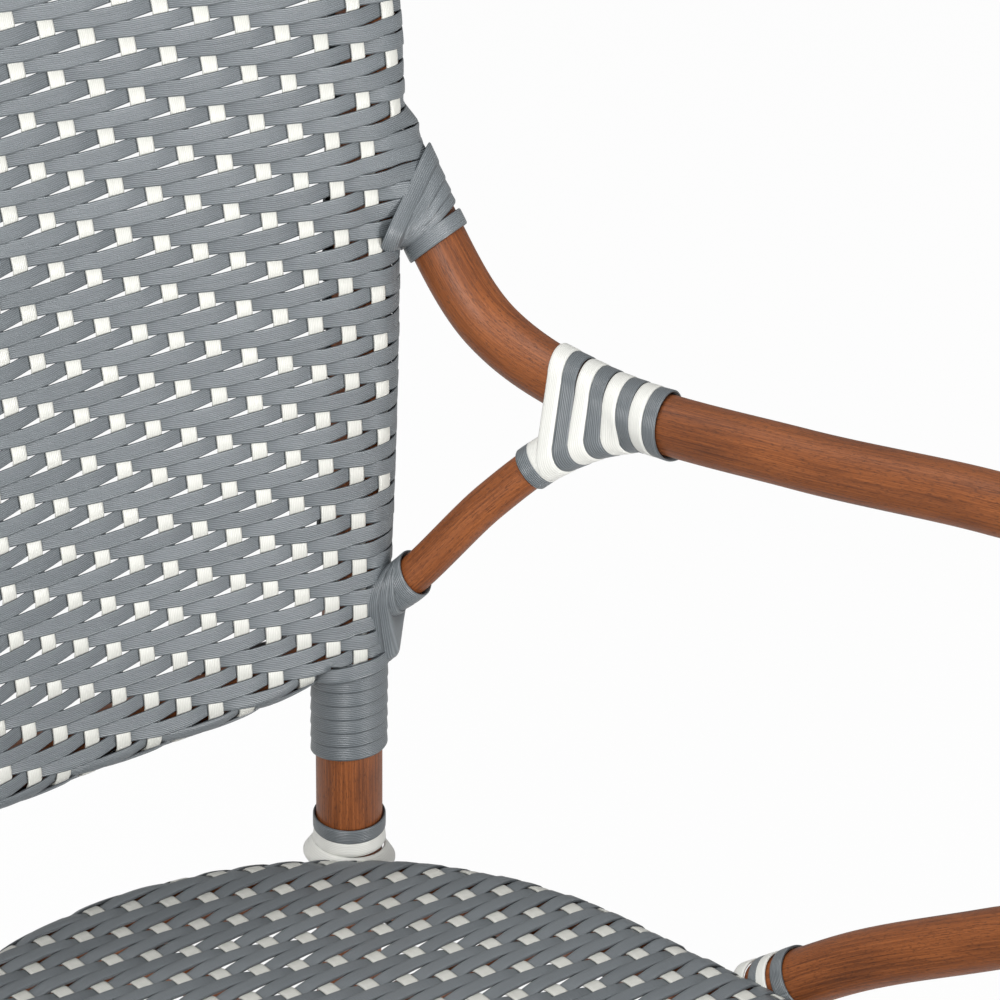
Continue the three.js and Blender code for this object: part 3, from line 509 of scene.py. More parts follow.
class Frame:
    """The poles' middle lines, worked out from the sizes as the source does."""

    def __init__(self, sizes: Sizes) -> None:
        """Work out every line once."""
        self.sizes = s = sizes
        cos, sin = np.cos(s.flare), np.sin(s.flare)
        self.side_start = np.array([s.seat_radius * cos, s.seat_radius * sin, s.rail_level])
        run = (self.side_start[1] + s.seat_front - s.seat_corner * (1 + sin)) / cos
        self.side_end = self.side_start + run * np.array([sin, -cos, 0.0])
        self.corner = np.array([self.side_end[0] - s.seat_corner * cos, s.seat_corner - s.seat_front, s.rail_level])
        radial = s.seat_radius + s.rail_radius + s.gap + s.post_radius
        self.post_at_seat = np.array([radial * np.cos(s.post_place), radial * np.sin(s.post_place), s.rail_level])
        half = self._hoop_half()
        crest = np.array([[0, self.post_at_seat[1] + s.crest_back + s.dish, s.crest_level]])
        self.hoop = Bend(np.vstack([half, crest, mirrored(half, -1)[::-1]]))
        self.shoulder, self.seat_share = (number / (len(self.hoop.points) - 1) for number in (5, 2))
        self.bottom = self._bottom_line()
        self.arms = {side: self._arm(side) for side in SIDES}
        self.braces = {side: self._brace(side) for side in SIDES}
        self.legs = {side: self._leg(side) for side in SIDES}

    def _hoop_half(self) -> Array:
        """The sitter's left half of the hoop, from the foot to the end of the crest's corner."""
        s, y = self.sizes, self.post_at_seat[1]
        tilt = (s.crest_back - s.shoulder_back) / (s.crest_arch + s.crest_corner)
        drop = s.crest_corner * (1 - np.sqrt(0.5))
        diagonal = s.crest_level - s.crest_arch - drop
        back = s.shoulder_back + (diagonal - s.shoulder_level) * tilt
        chest = s.waist_level + (s.shoulder_level - s.waist_level) * s.chest_share
        return np.array([
            [s.foot_half, y + s.foot_back, 0],
            [s.shin_half, y + s.shin_back, s.shin_height],
            self.post_at_seat,
            [s.waist_half, y + s.waist_back, s.waist_level],
            [s.chest_half, y + s.chest_back, chest],
            [s.shoulder_half, y + s.shoulder_back, s.shoulder_level],
            [s.shoulder_half - drop, y + back, diagonal],
            [s.shoulder_half - s.crest_corner, y + s.crest_back, s.crest_level - s.crest_arch],
        ])

    def _post_share(self, level: float) -> float:
        """The hoop's share at which the left post reaches a level."""
        return self.hoop.share_where(z_of, level, 0.0, self.shoulder)

    def on_post(self, level: float, side: Side) -> Array:
        """The point of a post's middle line at a level."""
        return mirrored(self.hoop.at(np.array([self._post_share(level)]))[0], side.value)

    def _bottom_line(self) -> Bend:
        """The back's lower rail, level with the posts' front and dished like the crest."""
        s = self.sizes
        end = self.on_post(s.waist_level + s.sag, Side.LEFT) + np.array([0, s.rail_radius - s.post_radius, 0])
        quarter = np.array([end[0] / 2, end[1] + s.dish * 0.75, s.waist_level])
        middle = np.array([0, end[1] + s.dish, s.waist_level])
        half = np.vstack([end, quarter])
        return Bend(np.vstack([half, middle, mirrored(half, -1)[::-1]]))

    def seat_side(self, reach: float) -> float:
        """Half the width between the seat's side rails at a reach in front of the arc's centre."""
        return float(self.side_start[0] + (self.side_start[1] + reach) * np.tan(self.sizes.flare))

    def _arm(self, side: Side) -> Bend:
        """An arm from the post forward, round the curl and back to the side rail."""
        s = self.sizes
        root = self.on_post(s.seat_height + s.arm_root_rise, Side.LEFT)
        crown = s.seat_height + s.crown_rise

        def curl(degrees: float, half: float) -> Array:
            angle = np.radians(degrees)
            along = s.crown_reach + s.curl_radius * np.sin(angle)
            return np.array([half, -along, crown - s.curl_radius * (1 - np.cos(angle))])

        back = curl(s.curl_turn, s.curl_end_half)
        returned = np.array([s.return_half, -s.return_reach, s.seat_height + s.return_rise])
        points = [
            root + np.array([s.arm_root_out, s.arm_root_out / 2, 0]),
            *[np.array([x, y, s.seat_height + rise]) for x, y, rise in s.arm_route],
            curl(0, s.crown_half),
            curl(s.curl_turn / 3, s.curl_half),
            curl(2 * s.curl_turn / 3, s.curl_half + (s.curl_end_half - s.curl_half) * 0.35),
            back,
            (back + returned) / 2,
            returned,
            np.array([self.seat_side(s.end_reach) + s.end_out, -s.end_reach, s.rail_level]),
        ]
        return Bend(mirrored(np.array(points), side.value))

    def _brace(self, side: Side) -> Bend:
        """A brace from the post to the underside of the arm."""
        s = self.sizes
        arm = self.arms[side]
        start = self.on_post(s.seat_height + s.brace_rise, side)
        share = arm.share_where(y_of, s.brace_lap, 0.0, 0.5)
        end = arm.at(np.array([share]))[0] - np.array([0, 0, s.arm_radius - s.brace_radius])
        route = [[*(start + (end - start) * along)[:2], start[2] + (end[2] - start[2]) * climb]
                 for along, climb in s.brace_route]
        return Bend(np.vstack([start, route, end]))

    def _leg(self, side: Side) -> Straight:
        """A front leg from its foot to the seat's front corner."""
        s = self.sizes
        angle = s.flare + (-np.pi / 2 - s.flare) * s.leg_share
        out = np.array([np.cos(angle), np.sin(angle), 0.0])
        top = self.corner + out * s.seat_corner
        foot = (top + out * s.foot_spread) * np.array([1, 1, 0])
        return Straight(mirrored(foot, side.value), mirrored(top, side.value))

    def _seat_lines(self) -> dict[str, Line]:
        """Stretches of the seat rails' middle line, in order from the middle of the front by the right side."""
        s, quarter, flip = self.sizes, np.pi / 2, np.array([-1, 1, 1])
        front = np.array([self.corner[0], -s.seat_front, s.rail_level])
        middle = front * np.array([0, 1, 1])
        return {
            "front_right": Straight(middle, front * flip),
            "corner_right": Arc(self.corner * flip, s.seat_corner, -quarter, -2 * quarter - s.flare),
            "right": Straight(self.side_end * flip, self.side_start * flip),
            "rear": Arc(np.array([0, 0, s.rail_level]), s.seat_radius, 2 * quarter - s.flare, s.flare),
            "left": Straight(self.side_start, self.side_end),
            "corner_left": Arc(self.corner, s.seat_corner, s.flare, -quarter),
            "front_left": Straight(front, middle),
        }

    def seat_ring(self, spacing: float) -> Array:
        """The seat rails' middle line, once round."""
        return joined(list(self._seat_lines().values()), spacing)

    def seat_parts(self, spacing: float) -> dict[str, Array]:
        """The seat rails' middle lines by node."""
        lines = self._seat_lines()
        front = Straight(lines["front_left"].start, lines["front_right"].end)
        parts = {"rear": [lines["rear"]], "front": [lines["corner_left"], front, lines["corner_right"]],
                 "left": [lines["left"]], "right": [lines["right"]]}
        return {f"seat_rail_{name}": joined(part, spacing) for name, part in parts.items()}

    def arch(self, leg_a: Line, leg_b: Line, middle: Array) -> Bend:
        """An arch that laps two legs and meets the underside of a seat rail.

        Args:
            leg_a: One leg's middle line.
            leg_b: The other leg's.
            middle: The point of the rail, seen from above, that the arch's top lies under.

        Returns:
            The arch's line.
        """
        s = self.sizes
        apex = s.rail_level - s.rail_radius - s.skin - s.gap - s.arch_radius
        reach = s.leg_radius + s.gap + s.arch_radius

        def place(level: float, along: float) -> Array:
            a, b = (leg.at(np.array([leg.share_where(z_of, level)]))[0] for leg in (leg_a, leg_b))
            across = unit(b - a)
            a, b = a + across * reach, b - across * reach
            bow = (middle - (a + b) / 2) * np.sin(np.pi * along) * np.array([1, 1, 0])
            return (a + (b - a) * along + bow) * np.array([1, 1, 0]) + UP * level

        low = s.arch_foot + s.arch_lap
        route = [(s.arch_foot, 0.0), (low, 0.0)]
        route += [(low + (apex - low) * climb, along) for along, climb in s.arch_route]
        first = [place(level, along) for level, along in route]
        last = [place(level, 1 - along) for level, along in route]
        return Bend(np.array([*first, place(apex, 0.5), *last[::-1]]))


# Flat strand: its section, and the sheets that it is woven on


TONE_SHIFT = 500.0  # how far the grain moves along for a tone of 1, so that no two strands look alike


@dataclass(frozen=True)
class Strand:
    """Flat strand's section: a low dome with rounded edges, as points across and deep."""

    width: float = 7.4
    thickness: float = 1.05

    @property
    def section(self) -> Array:
        """Points once round the section, across and deep from its middle."""
        half, deep = self.width / 2, self.thickness / 2
        outline = np.array([
            (-1.0, 0.2), (-0.84, 0.92), (-0.45, 1.01), (0.0, 1.02), (0.45, 1.01), (0.84, 0.92), (1.0, 0.2),
            (0.9, -0.97), (-0.9, -0.97),
        ])
        return outline * np.array([half, deep])


class Roll:
    """A table of places on the far side of a sheet's edge, where strands go round a pole.

    Row i holds the turn round the pole at the edge's point i, stepped evenly by distance along the strand.
    """

    def __init__(self, places: Array, normals: Array, step: float) -> None:
        """Keep the table of places and outward normals."""
        self.places, self.normals, self.step = places, normals, step

    def at(self, row: Array, distance: Array) -> tuple[Array, Array]:
        """Places and normals between the table's rows and steps, mixed from the nearest four."""
        rows, steps = self.places.shape[:2]
        i = np.clip(row, 0, rows - 1.001)
        j = np.clip(distance / self.step, 0, steps - 1.001)
        a, b = i.astype(int), j.astype(int)
        f, g = (i - a)[..., None], (j - b)[..., None]

        def mixed(table: Array) -> Array:
            near = table[a, b] * (1 - g) + table[a, b + 1] * g
            far = table[a + 1, b] * (1 - g) + table[a + 1, b + 1] * g
            return near * (1 - f) + far * f

        return mixed(self.places), unit(mixed(self.normals))


class Sheet:
    """A sheet's middle surface over a flat chart, rolled round poles beyond its edges."""

    def surface(self, chart: Array) -> Array:
        """Places of the flat part, for chart points (u, v)."""
        raise NotImplementedError

    def normal(self, chart: Array) -> Array:
        """Normals from the two slopes of the surface, towards the sitter."""
        du, dv = np.array([0.5, 0.0]), np.array([0.0, 0.5])
        across = self.surface(chart + du) - self.surface(chart - du)
        down = self.surface(chart + dv) - self.surface(chart - dv)
        return unit(np.cross(down, across))

    def roll(self, edge: Array, radius: float, turn: float, step: float = 1.0) -> Roll:
        """The roll beyond an edge: axis + radius * (normal cos a + outward sin a), a = distance / radius.

        Args:
            edge: Chart points of the edge, in order, with the sheet on their right.
            radius: Distance from the pole's middle line to the sheet's middle.
            turn: How far round the pole the sheet goes, as an angle.
            step: Distance between places along the strand.

        Returns:
            The table.
        """
        normal = self.normal(edge)
        axis = self.surface(edge) - radius * normal
        along = unit(np.gradient(axis, axis=0))
        outward = np.cross(normal, along)
        ahead = np.gradient(edge, axis=0)
        out = np.stack([ahead[:, 1], -ahead[:, 0]], axis=1)
        beyond = self.surface(edge + out / np.linalg.norm(ahead, axis=1, keepdims=True)) - self.surface(edge)
        outward = unit(outward * np.sign(dot(outward, beyond)))
        angle = (np.arange(int(radius * turn / step) + 2) * step / radius)[None, :, None]
        direction = normal[:, None] * np.cos(angle) + outward[:, None] * np.sin(angle)
        return Roll(axis[:, None] + radius * direction, direction, step)


def beyond_edge(chart: Array, edge: Array) -> tuple[Array, Array]:
    """How far chart points lie beyond an edge, and where along it.

    Args:
        chart: Points, [n, 2].
        edge: The edge's points in order, closely and evenly spaced, with the sheet on their right.

    Returns:
        Signed distance, positive beyond the edge, and the nearest place along the edge as a row number.
    """
    ahead = np.gradient(edge, axis=0)
    ahead /= np.linalg.norm(ahead, axis=1, keepdims=True)
    nearest = np.empty(len(chart), int)
    for part in np.array_split(np.arange(len(chart)), max(1, len(chart) // 8000)):
        gap = chart[part, None] - edge[None]
        nearest[part] = np.argmin(np.sum(gap * gap, axis=2), axis=1)
    gap = chart - edge[nearest]
    forward = ahead[nearest]
    spacing = np.linalg.norm(np.diff(edge, axis=0), axis=1).mean()
    row = nearest + np.sum(gap * forward, axis=1) / spacing
    return forward[:, 1] * gap[:, 0] - forward[:, 0] * gap[:, 1], row


@dataclass
class BackSheet(Sheet):
    """The back's sheet: leaning, dished and bent, rolled round the hoop and the lower rail.

    Strands go over the arms' ends from the level arm_leaves up. A skin covers the arm, thins out to nothing
    at arm_rise above its end, and has left the post's neighbourhood at arm_clear.
    """

    lean: float = np.radians(15.732)
    bend: float = -0.00076
    dish: float = 1.255e-3
    flatten: float = -1.886e-8
    top: float = 790.0
    front: float = 203.98
    sunk: float = 0.5
    hoop_radius: float = 15.7
    rail_radius: float = 12.7
    rail_half: float = 140.0
    hoop_turn: float = np.radians(262)
    rail_turn: float = np.radians(235)
    arms: tuple = ()
    arm_skin: float = 0.9
    arm_leaves: float = 739.0
    arm_rise: float = 22.0
    arm_clear: float = 60.0

    def __post_init__(self) -> None:
        """Work out the edges and their rolls."""
        half = np.array([
            (125.0, 330.0), (125.7, 265.9), (128.3, 237.0), (138.6, 172.0), (154.7, 82.4), (164.0, 38.8),
            (177.9, -12.4), (185.0, -46.6), (184.0, -66.0), (171.0, -92.5), (142.0, -106.2), (80.0, -108.6),
        ])
        whole = np.vstack([half * [-1, 1], [[0, -109.8]], half[::-1]])
        line = Bend(np.hstack([whole, np.zeros((len(whole), 1))])).samples(6000)
        self.hoop_edge = evenly(line[:, :2], 1.0)
        across = np.linspace(self.rail_half, -self.rail_half, int(2 * self.rail_half) + 1)
        self.low_edge = np.stack([across, self.low_line(across)], axis=1)
        self.hoop_roll = self.roll(self.hoop_edge, self.hoop_radius, self.hoop_turn)
        self.low_roll = self.roll(self.low_edge, self.rail_radius, self.rail_turn)

    @staticmethod
    def low_line(u: Array) -> Array:
        """Chart height of the lower rail's middle line: it rises with |u| cubed, then turns down at the post."""
        return 246.5 - 9 * (np.abs(u) / 100) ** 3 + 26 * np.clip((np.abs(u) - 110) / 12, 0, 1) ** 2

    def below_rail(self, chart: Array) -> Array:
        """How far chart points lie below the lower rail's line."""
        return chart[:, 1] - self.low_line(chart[:, 0])

    def surface(self, chart: Array) -> Array:
        """y falls with v by the lean and the bend and with u by the dish; z falls with v."""
        u, v = chart[..., 0], chart[..., 1]
        sin, cos = np.sin(self.lean), np.cos(self.lean)
        y = -sin * v - 0.5 * self.bend * cos * v**2 - (self.dish * u**2 + self.flatten * u**4)
        z = self.top - cos * v + 0.5 * self.bend * sin * v**2
        x = u - 4 * self.dish**2 * u**3 / 6
        return np.stack([x, y + self.front + self.sunk, z], axis=-1)

    def place(self, chart: Array, height: Array) -> Array:
        """Places of the flat part, moved out along the normal, or on the rolls beyond the edges."""
        flat, high = chart.reshape(-1, 2), np.broadcast_to(height, chart.shape[:-1]).reshape(-1, 1)
        spot, normal = self.surface(flat), self.normal(flat)
        outside, row = beyond_edge(flat, self.hoop_edge)
        below = self.below_rail(flat)
        on_low = (below > 0) & (outside < 0)
        spot[on_low], normal[on_low] = self.low_roll.at(self.rail_half - flat[on_low, 0], below[on_low])
        on_hoop = outside >= 0
        spot[on_hoop], normal[on_hoop] = self.hoop_roll.at(row[on_hoop], outside[on_hoop])
        for arm in self.arms:
            spot[on_hoop] = self._over(arm, spot[on_hoop], normal[on_hoop])
        return (spot + high * normal).reshape(*chart.shape[:-1], 3)

    def _over(self, arm: Pole, spot: Array, normal: Array) -> Array:
        """Places on the hoop's roll moved outwards, over an arm's end that lies against the post.

        Seen from above, the hull of both poles reaches the least of h(d) / (n . d) over the directions d,
        where h is the larger support, of the post's circle or of the arm's slanted section.
        """
        order = np.flatnonzero(arm.line[:, 2] > arm.line[0, 2] - self.arm_clear)[::-1]
        line, tangent = arm.line[order], unit(np.gradient(arm.line, axis=0))[order]
        centre = spot - self.hoop_radius * normal
        level = centre[:, 2]
        place, slope = (np.stack([np.interp(level, line[:, 2], table[:, k]) for k in range(3)], axis=1)
                        for table in (line, tangent))
        to_arm = (place - centre)[:, :2]
        above = level - line[-1, 2]
        radius = (arm.radius + self.arm_skin) * np.clip((self.arm_rise - above) / 18, 0, 1)
        angle = np.arange(48) * TURN / 48
        ways = np.stack([np.cos(angle), np.sin(angle)])
        part = unit(slope[:, :2]) @ ways
        support = radius[:, None] * np.sqrt(1 - part**2 + (part / slope[:, 2:]) ** 2)
        support = np.maximum(to_arm @ ways + support, self.hoop_radius)
        facing = unit(normal[:, :2]) @ ways
        reach = np.min(np.where(facing > 0.2, support / np.maximum(facing, 0.2), np.inf), axis=1)
        share = np.clip((level - self.arm_leaves) / 10, 0, 1) * np.clip((self.arm_clear - above) / 30, 0, 1)
        share *= np.linalg.norm(to_arm, axis=1) < self.arm_clear
        return centre + normal * (self.hoop_radius + (reach - self.hoop_radius) * share)[:, None]


@dataclass
class SeatSheet(Sheet):
    """The seat's flat sheet, rolled round the ring of its rails."""

    ring: Array
    level: float
    radius: float

    def __post_init__(self) -> None:
        """The chart is (x, -y), so that rows count towards the front."""
        edge = self.ring[:, :2] * [1, -1]
        self.edge = evenly(edge, 1.0)
        self.rim = self.roll(self.edge, self.radius, np.radians(215))

    def surface(self, chart: Array) -> Array:
        """x = u, y = -v, at one level."""
        u, v = chart[..., 0], chart[..., 1]
        return np.stack([u, -v, np.full_like(u, self.level)], axis=-1)

    def place(self, chart: Array, height: Array) -> Array:
        """Places of the flat part, moved up, or on the roll round the ring."""
        flat, high = chart.reshape(-1, 2), np.broadcast_to(height, chart.shape[:-1]).reshape(-1, 1)
        spot, normal = self.surface(flat), np.tile(UP, (len(flat), 1))
        outside, row = beyond_edge(flat, self.edge)
        beyond = outside >= 0
        spot[beyond], normal[beyond] = self.rim.at(row[beyond], outside[beyond])
        return (spot + high * normal).reshape(*chart.shape[:-1], 3)


def evenly(points: Array, spacing: float) -> Array:
    """A run of points respaced evenly along its length."""
    along = lengths_along(points)
    wanted = np.linspace(0, along[-1], int(round(along[-1] / spacing)) + 1)
    return np.stack([np.interp(wanted, along, points[:, k]) for k in range(points.shape[1])], axis=1)


@dataclass(frozen=True)
class Twill:
    """The weave: wefts pass over two warps and under one, a warp further on in each row.

    A weft's path over three columns is given by stops (share of the three columns from the crossing, height,
    shift along v): it sinks steeply before the crossing and rises slowly after it. The shifts grow or shrink
    at random within `loose`. The direction -1 turns the pattern half round. A warp's stops where it shows
    are given as (place along v from the crossing, height).
    """

    strand: Strand = Strand()
    weft: Strand = Strand(7.15, 1.15)
    weft_stops: tuple = (
        (-0.41, 0.98, 0.27), (-0.34, 0.92, 0.15), (-0.27, 0.75, 0.0), (-0.22, 0.42, -0.3), (-0.17, 0.0, -0.6),
        (-0.12, -0.5, -0.92), (-0.08, -0.95, -1.17), (-0.04, -1.1, -1.33), (0.0, -1.15, -1.4), (0.04, -1.1, -1.3),
        (0.08, -0.85, -1.13), (0.11, -0.45, -1.03), (0.15, 0.0, -0.92), (0.2, 0.35, -0.66), (0.27, 0.65, -0.3),
        (0.34, 0.85, 0.06), (0.4, 0.95, 0.37), (0.5, 1.0, 0.32),
    )
    weft_float: float = 0.6
    middle_shift: float = 0.45
    direction: int = 1
    loose: tuple = (0.82, 1.08)
    edge_loose: float = 0.4
    warp_stops: tuple = ((-4.1, -0.1), (-3.0, 0.36), (0.0, 0.5), (3.0, 0.36), (4.1, -0.1))
    warp_under: float = -0.5

    def weft_path(self, row: int, numbers: Array, has_warp: Callable[[Array], Array]) -> Array:
        """A weft's path through the warps of one row.

        Args:
            row: The row's number.
            numbers: The first and last column number of the path, which may be past the warps.
            has_warp: Tells for column numbers whether the row has a warp there.

        Returns:
            Column numbers with fractions, shift across and height, [steps, 3].
        """
        first = numbers[0] - (numbers[0] - row) % 3
        crossings = np.arange(first, numbers[1] + 3, 3)
        share, height, shift = np.array(self.weft_stops)[::self.direction].T * [[self.direction], [1], [1]]
        loose = np.random.default_rng(row + 100).uniform(*self.loose, (len(crossings), 1))
        column = (crossings[:, None] + 3 * share).ravel()
        real = has_warp(crossings)[:, None]
        height = np.where(real, height, self.weft_float).ravel()
        shift = self.direction * ((shift + self.middle_shift) * np.where(real, loose, self.edge_loose)).ravel()
        return np.stack([column, shift, height], axis=1)

    def warp_path(self, column: int, rows: Array) -> Array:
        """A warp's path through the wefts of one column.

        Args:
            column: The column's number.
            rows: Number and place along v of each weft, [n, 2].

        Returns:
            Places along v and height, [steps, 2].
        """
        under = ((0.0, self.warp_under),)
        return np.array([
            (place + step, rise) for number, place in rows
            for step, rise in (self.warp_stops if (int(number) - column) % 3 == 0 else under)], float)


def strand_grain(section: Array, along: Array, tone: float) -> Array:
    """Straightened coordinates of a swept section: across, deep and along, moved along by the tone."""
    shape = (len(along), len(section))
    along = np.broadcast_to(along[:, None], shape) + TONE_SHIFT * tone
    return np.stack([np.broadcast_to(section[:, 0], shape), np.broadcast_to(section[:, 1], shape), along], axis=2)


def ribbon(shells: Shells, sheet: Sheet, path: Array, upright: bool, strand: Strand, tone: float) -> None:
    """Carry the strand's section along a path on a sheet.

    Args:
        shells: Where the strand is added.
        sheet: The sheet, whose `place` turns chart points and heights into places.
        path: Chart u, v and height at each step, [steps, 3].
        upright: True for a warp, whose width lies along u.
        strand: The strand's section.
        tone: The strand's tone.
    """
    section = strand.section
    chart = np.repeat(path[:, None, :2], len(section), axis=1)
    chart[:, :, 0 if upright else 1] += section[:, 0]
    height = path[:, 2:3] + section[:, 1]
    rings = sheet.place(chart, height)
    shells.sweep(rings, strand_grain(section, lengths_along(rings[:, 0]), tone), tone)


def add_kept(shells: Shells, sheet: Sheet, path: Array, keep: Array, upright: bool, strand: Strand,
             tone: float) -> None:
    """Add the longest run of a strand's path that is kept, where it has six steps or more; arguments as above."""
    edges = np.flatnonzero(np.diff(np.concatenate([[0], keep.astype(int), [0]])))
    runs = edges.reshape(-1, 2)
    if len(runs):
        start, end = runs[np.argmax(runs[:, 1] - runs[:, 0])]
        if end - start >= 6:
            ribbon(shells, sheet, path[start:end], upright, strand, tone)


@dataclass
class WovenBack:
    """The back's weave, strand by strand, on its measured lattice.

    A strand is cut where it has gone some way beyond the hoop's line or below the rail's. The pairs of turns
    tell how far it goes round the hoop and round the rail. Wefts lower than onto_post stop weft_stop before
    the hoop's line, strands farther out than post_side go their room below the rail's line, and warps that
    meet a post at its side, or the hoop's corner, go warp_reach beyond the hoop's line.
    """

    sheet: BackSheet
    twill: Twill = Twill()
    pitch: float = 16.429
    middle: float = -1.5
    row_pitch: float = 7.0
    widen: float = -0.1453
    even: float = 0.49
    columns: tuple = (-12, 9)
    rows: tuple = (-25, 43)
    last_rows: tuple = ((10, 1), (9, 24), (8, 35))
    onto_post: float = 247.0
    post_side: float = 104.0
    weft_stop: float = -9.0
    weft_room: float = 6.0
    weft_turns: tuple = (np.radians(255), np.radians(230))
    warp_reach: float = 14.0
    warp_room: float = 2.0
    warp_turns: tuple = (np.radians(250), np.radians(225))
    crest_foot: float = -40.0
    crest_side: float = -95.0
    crest_half: float = 150.0

    def column_place(self, column: Array, row: Array) -> Array:
        """Chart u of a warp at a row: pitch * (c - middle) * (1 + widen * (r - 10) / 30 * share of the edge)."""
        offset = column - self.middle
        row = np.clip(row, -16, 35)
        return self.pitch * offset * (1 + self.widen * (row - 10) / 30 * (
            self.even + (1 - self.even) * (offset / 10) ** 2))

    def last_row(self, column: Array) -> Array:
        """The last row that a warp shows in; the outer warps end sooner."""
        offset = np.abs(np.asarray(column) - self.middle)
        last = np.full(np.shape(offset), self.rows[1] + 1.0)
        for places, row in self.last_rows[::-1]:
            last = np.where(offset > places, row, last)
        return last

    def build(self, finishes: "Finishes") -> None:
        """Make the wefts and the warps."""
        random = np.random.default_rng(5)
        wefts, warps = Shells(), Shells()
        rows = np.arange(self.rows[0], self.rows[1] + 1)
        for row in rows:
            self._weft(wefts, int(row), float(random.random()))
        for number in range(self.columns[0], self.columns[1] + 1):
            self._warp(warps, number, rows[rows <= self.last_row(number)], float(random.random()))
        wefts.piece("back_wefts", finishes.grey_strand, "woven_strand", "woven_back")
        warps.piece("back_warps", finishes.white_strand, "white_strip")

    def _weft(self, shells: Shells, row: int, tone: float) -> None:
        """Add one weft, rolled round the hoop or, low down, cut at the post."""
        def has_warp(column: Array) -> Array:
            return (column >= self.columns[0]) & (column <= self.columns[1]) & (row <= self.last_row(column))

        path = self.twill.weft_path(row, np.array(self.columns) + [-5, 5], has_warp)
        across, along = self.column_place(path[:, 0], row), row * self.row_pitch + path[:, 1]
        path = np.stack([across, along, path[:, 2]], axis=1)
        outside, below, by_post = self._ends(path)
        low = row * self.row_pitch > self.onto_post
        limit = self.weft_stop if low else self.sheet.hoop_radius * self.weft_turns[0]
        room = np.where(by_post, self.weft_room, self.sheet.rail_radius * self.weft_turns[1])
        keep = (outside < limit) & (below < room)
        add_kept(shells, self.sheet, path, keep, False, self.twill.weft, tone)

    def _warp(self, shells: Shells, column: int, rows: Array, tone: float) -> None:
        """Add one warp, rolled round the crest and the lower rail and cut at the posts."""
        v, high = self.twill.warp_path(column, np.stack([rows, rows * self.row_pitch], axis=1)).T
        path = np.stack([self.column_place(column, v / self.row_pitch), v, high], axis=1)
        outside, below, by_post = self._ends(path)
        beside = (v > self.crest_foot) | ((np.abs(path[:, 0]) > self.crest_half) & (v > self.crest_side))
        reach = np.where(beside, self.warp_reach, self.sheet.hoop_radius * self.warp_turns[0])
        room = np.where(by_post, self.warp_room, self.sheet.rail_radius * self.warp_turns[1])
        keep = (outside < reach) & (below < room)
        add_kept(shells, self.sheet, path, keep, True, self.twill.strand, tone)

    def _ends(self, path: Array) -> tuple[Array, Array, Array]:
        """How far a path's points lie beyond the hoop and below the rail, and which of them lie by a post."""
        outside, _ = beyond_edge(path[:, :2], self.sheet.hoop_edge)
        return outside, self.sheet.below_rail(path[:, :2]), np.abs(path[:, 0]) > self.post_side


@dataclass
class WovenSeat:
    """The seat's weave on its measured lattice."""

    sheet: SeatSheet
    twill: Twill = Twill(direction=-1, loose=(0.1, 0.75), weft=Strand(8.0, 1.2))
    pitch: float = 15.199
    row_pitch: float = 7.599
    start: tuple = (91.4, -109.98)
    columns: tuple = (-22, 11)
    rows: tuple = (-14, 50)
    turn: float = np.radians(205)

    def build(self, finishes: "Finishes") -> None:
        """Make the wefts and the warps."""
        random = np.random.default_rng(9)
        wefts, warps = Shells(), Shells()
        rows = np.arange(self.rows[0], self.rows[1] + 1)
        numbers = np.arange(self.columns[0], self.columns[1] + 1)
        places = self.start[1] + rows * self.row_pitch
        for row, place in zip(rows, places):
            path = self.twill.weft_path(int(row), np.array(self.columns) + [-2, 2], np.isfinite)
            path = path * [self.pitch, 1, 1] + [self.start[0], place, 0]
            self._add(wefts, path, False, float(random.random()))
        for number in numbers:
            u = self.start[0] + number * self.pitch
            v, high = self.twill.warp_path(int(number), np.stack([rows, places], axis=1)).T
            self._add(warps, np.stack([0 * v + u, v, high], axis=1), True, float(random.random()))
        wefts.piece("seat_wefts", finishes.grey_strand, "woven_strand", "woven_seat")
        warps.piece("seat_warps", finishes.white_strand, "white_strip")

    def _add(self, shells: Shells, path: Array, upright: bool, tone: float) -> None:
        """Add the part of a strand that the roll has room for."""
        outside, _ = beyond_edge(path[:, :2], self.sheet.edge)
        keep = outside < self.sheet.radius * self.turn
        strand = self.twill.strand if upright else self.twill.weft
        add_kept(shells, self.sheet, path, keep, upright, strand, tone)


# Bindings


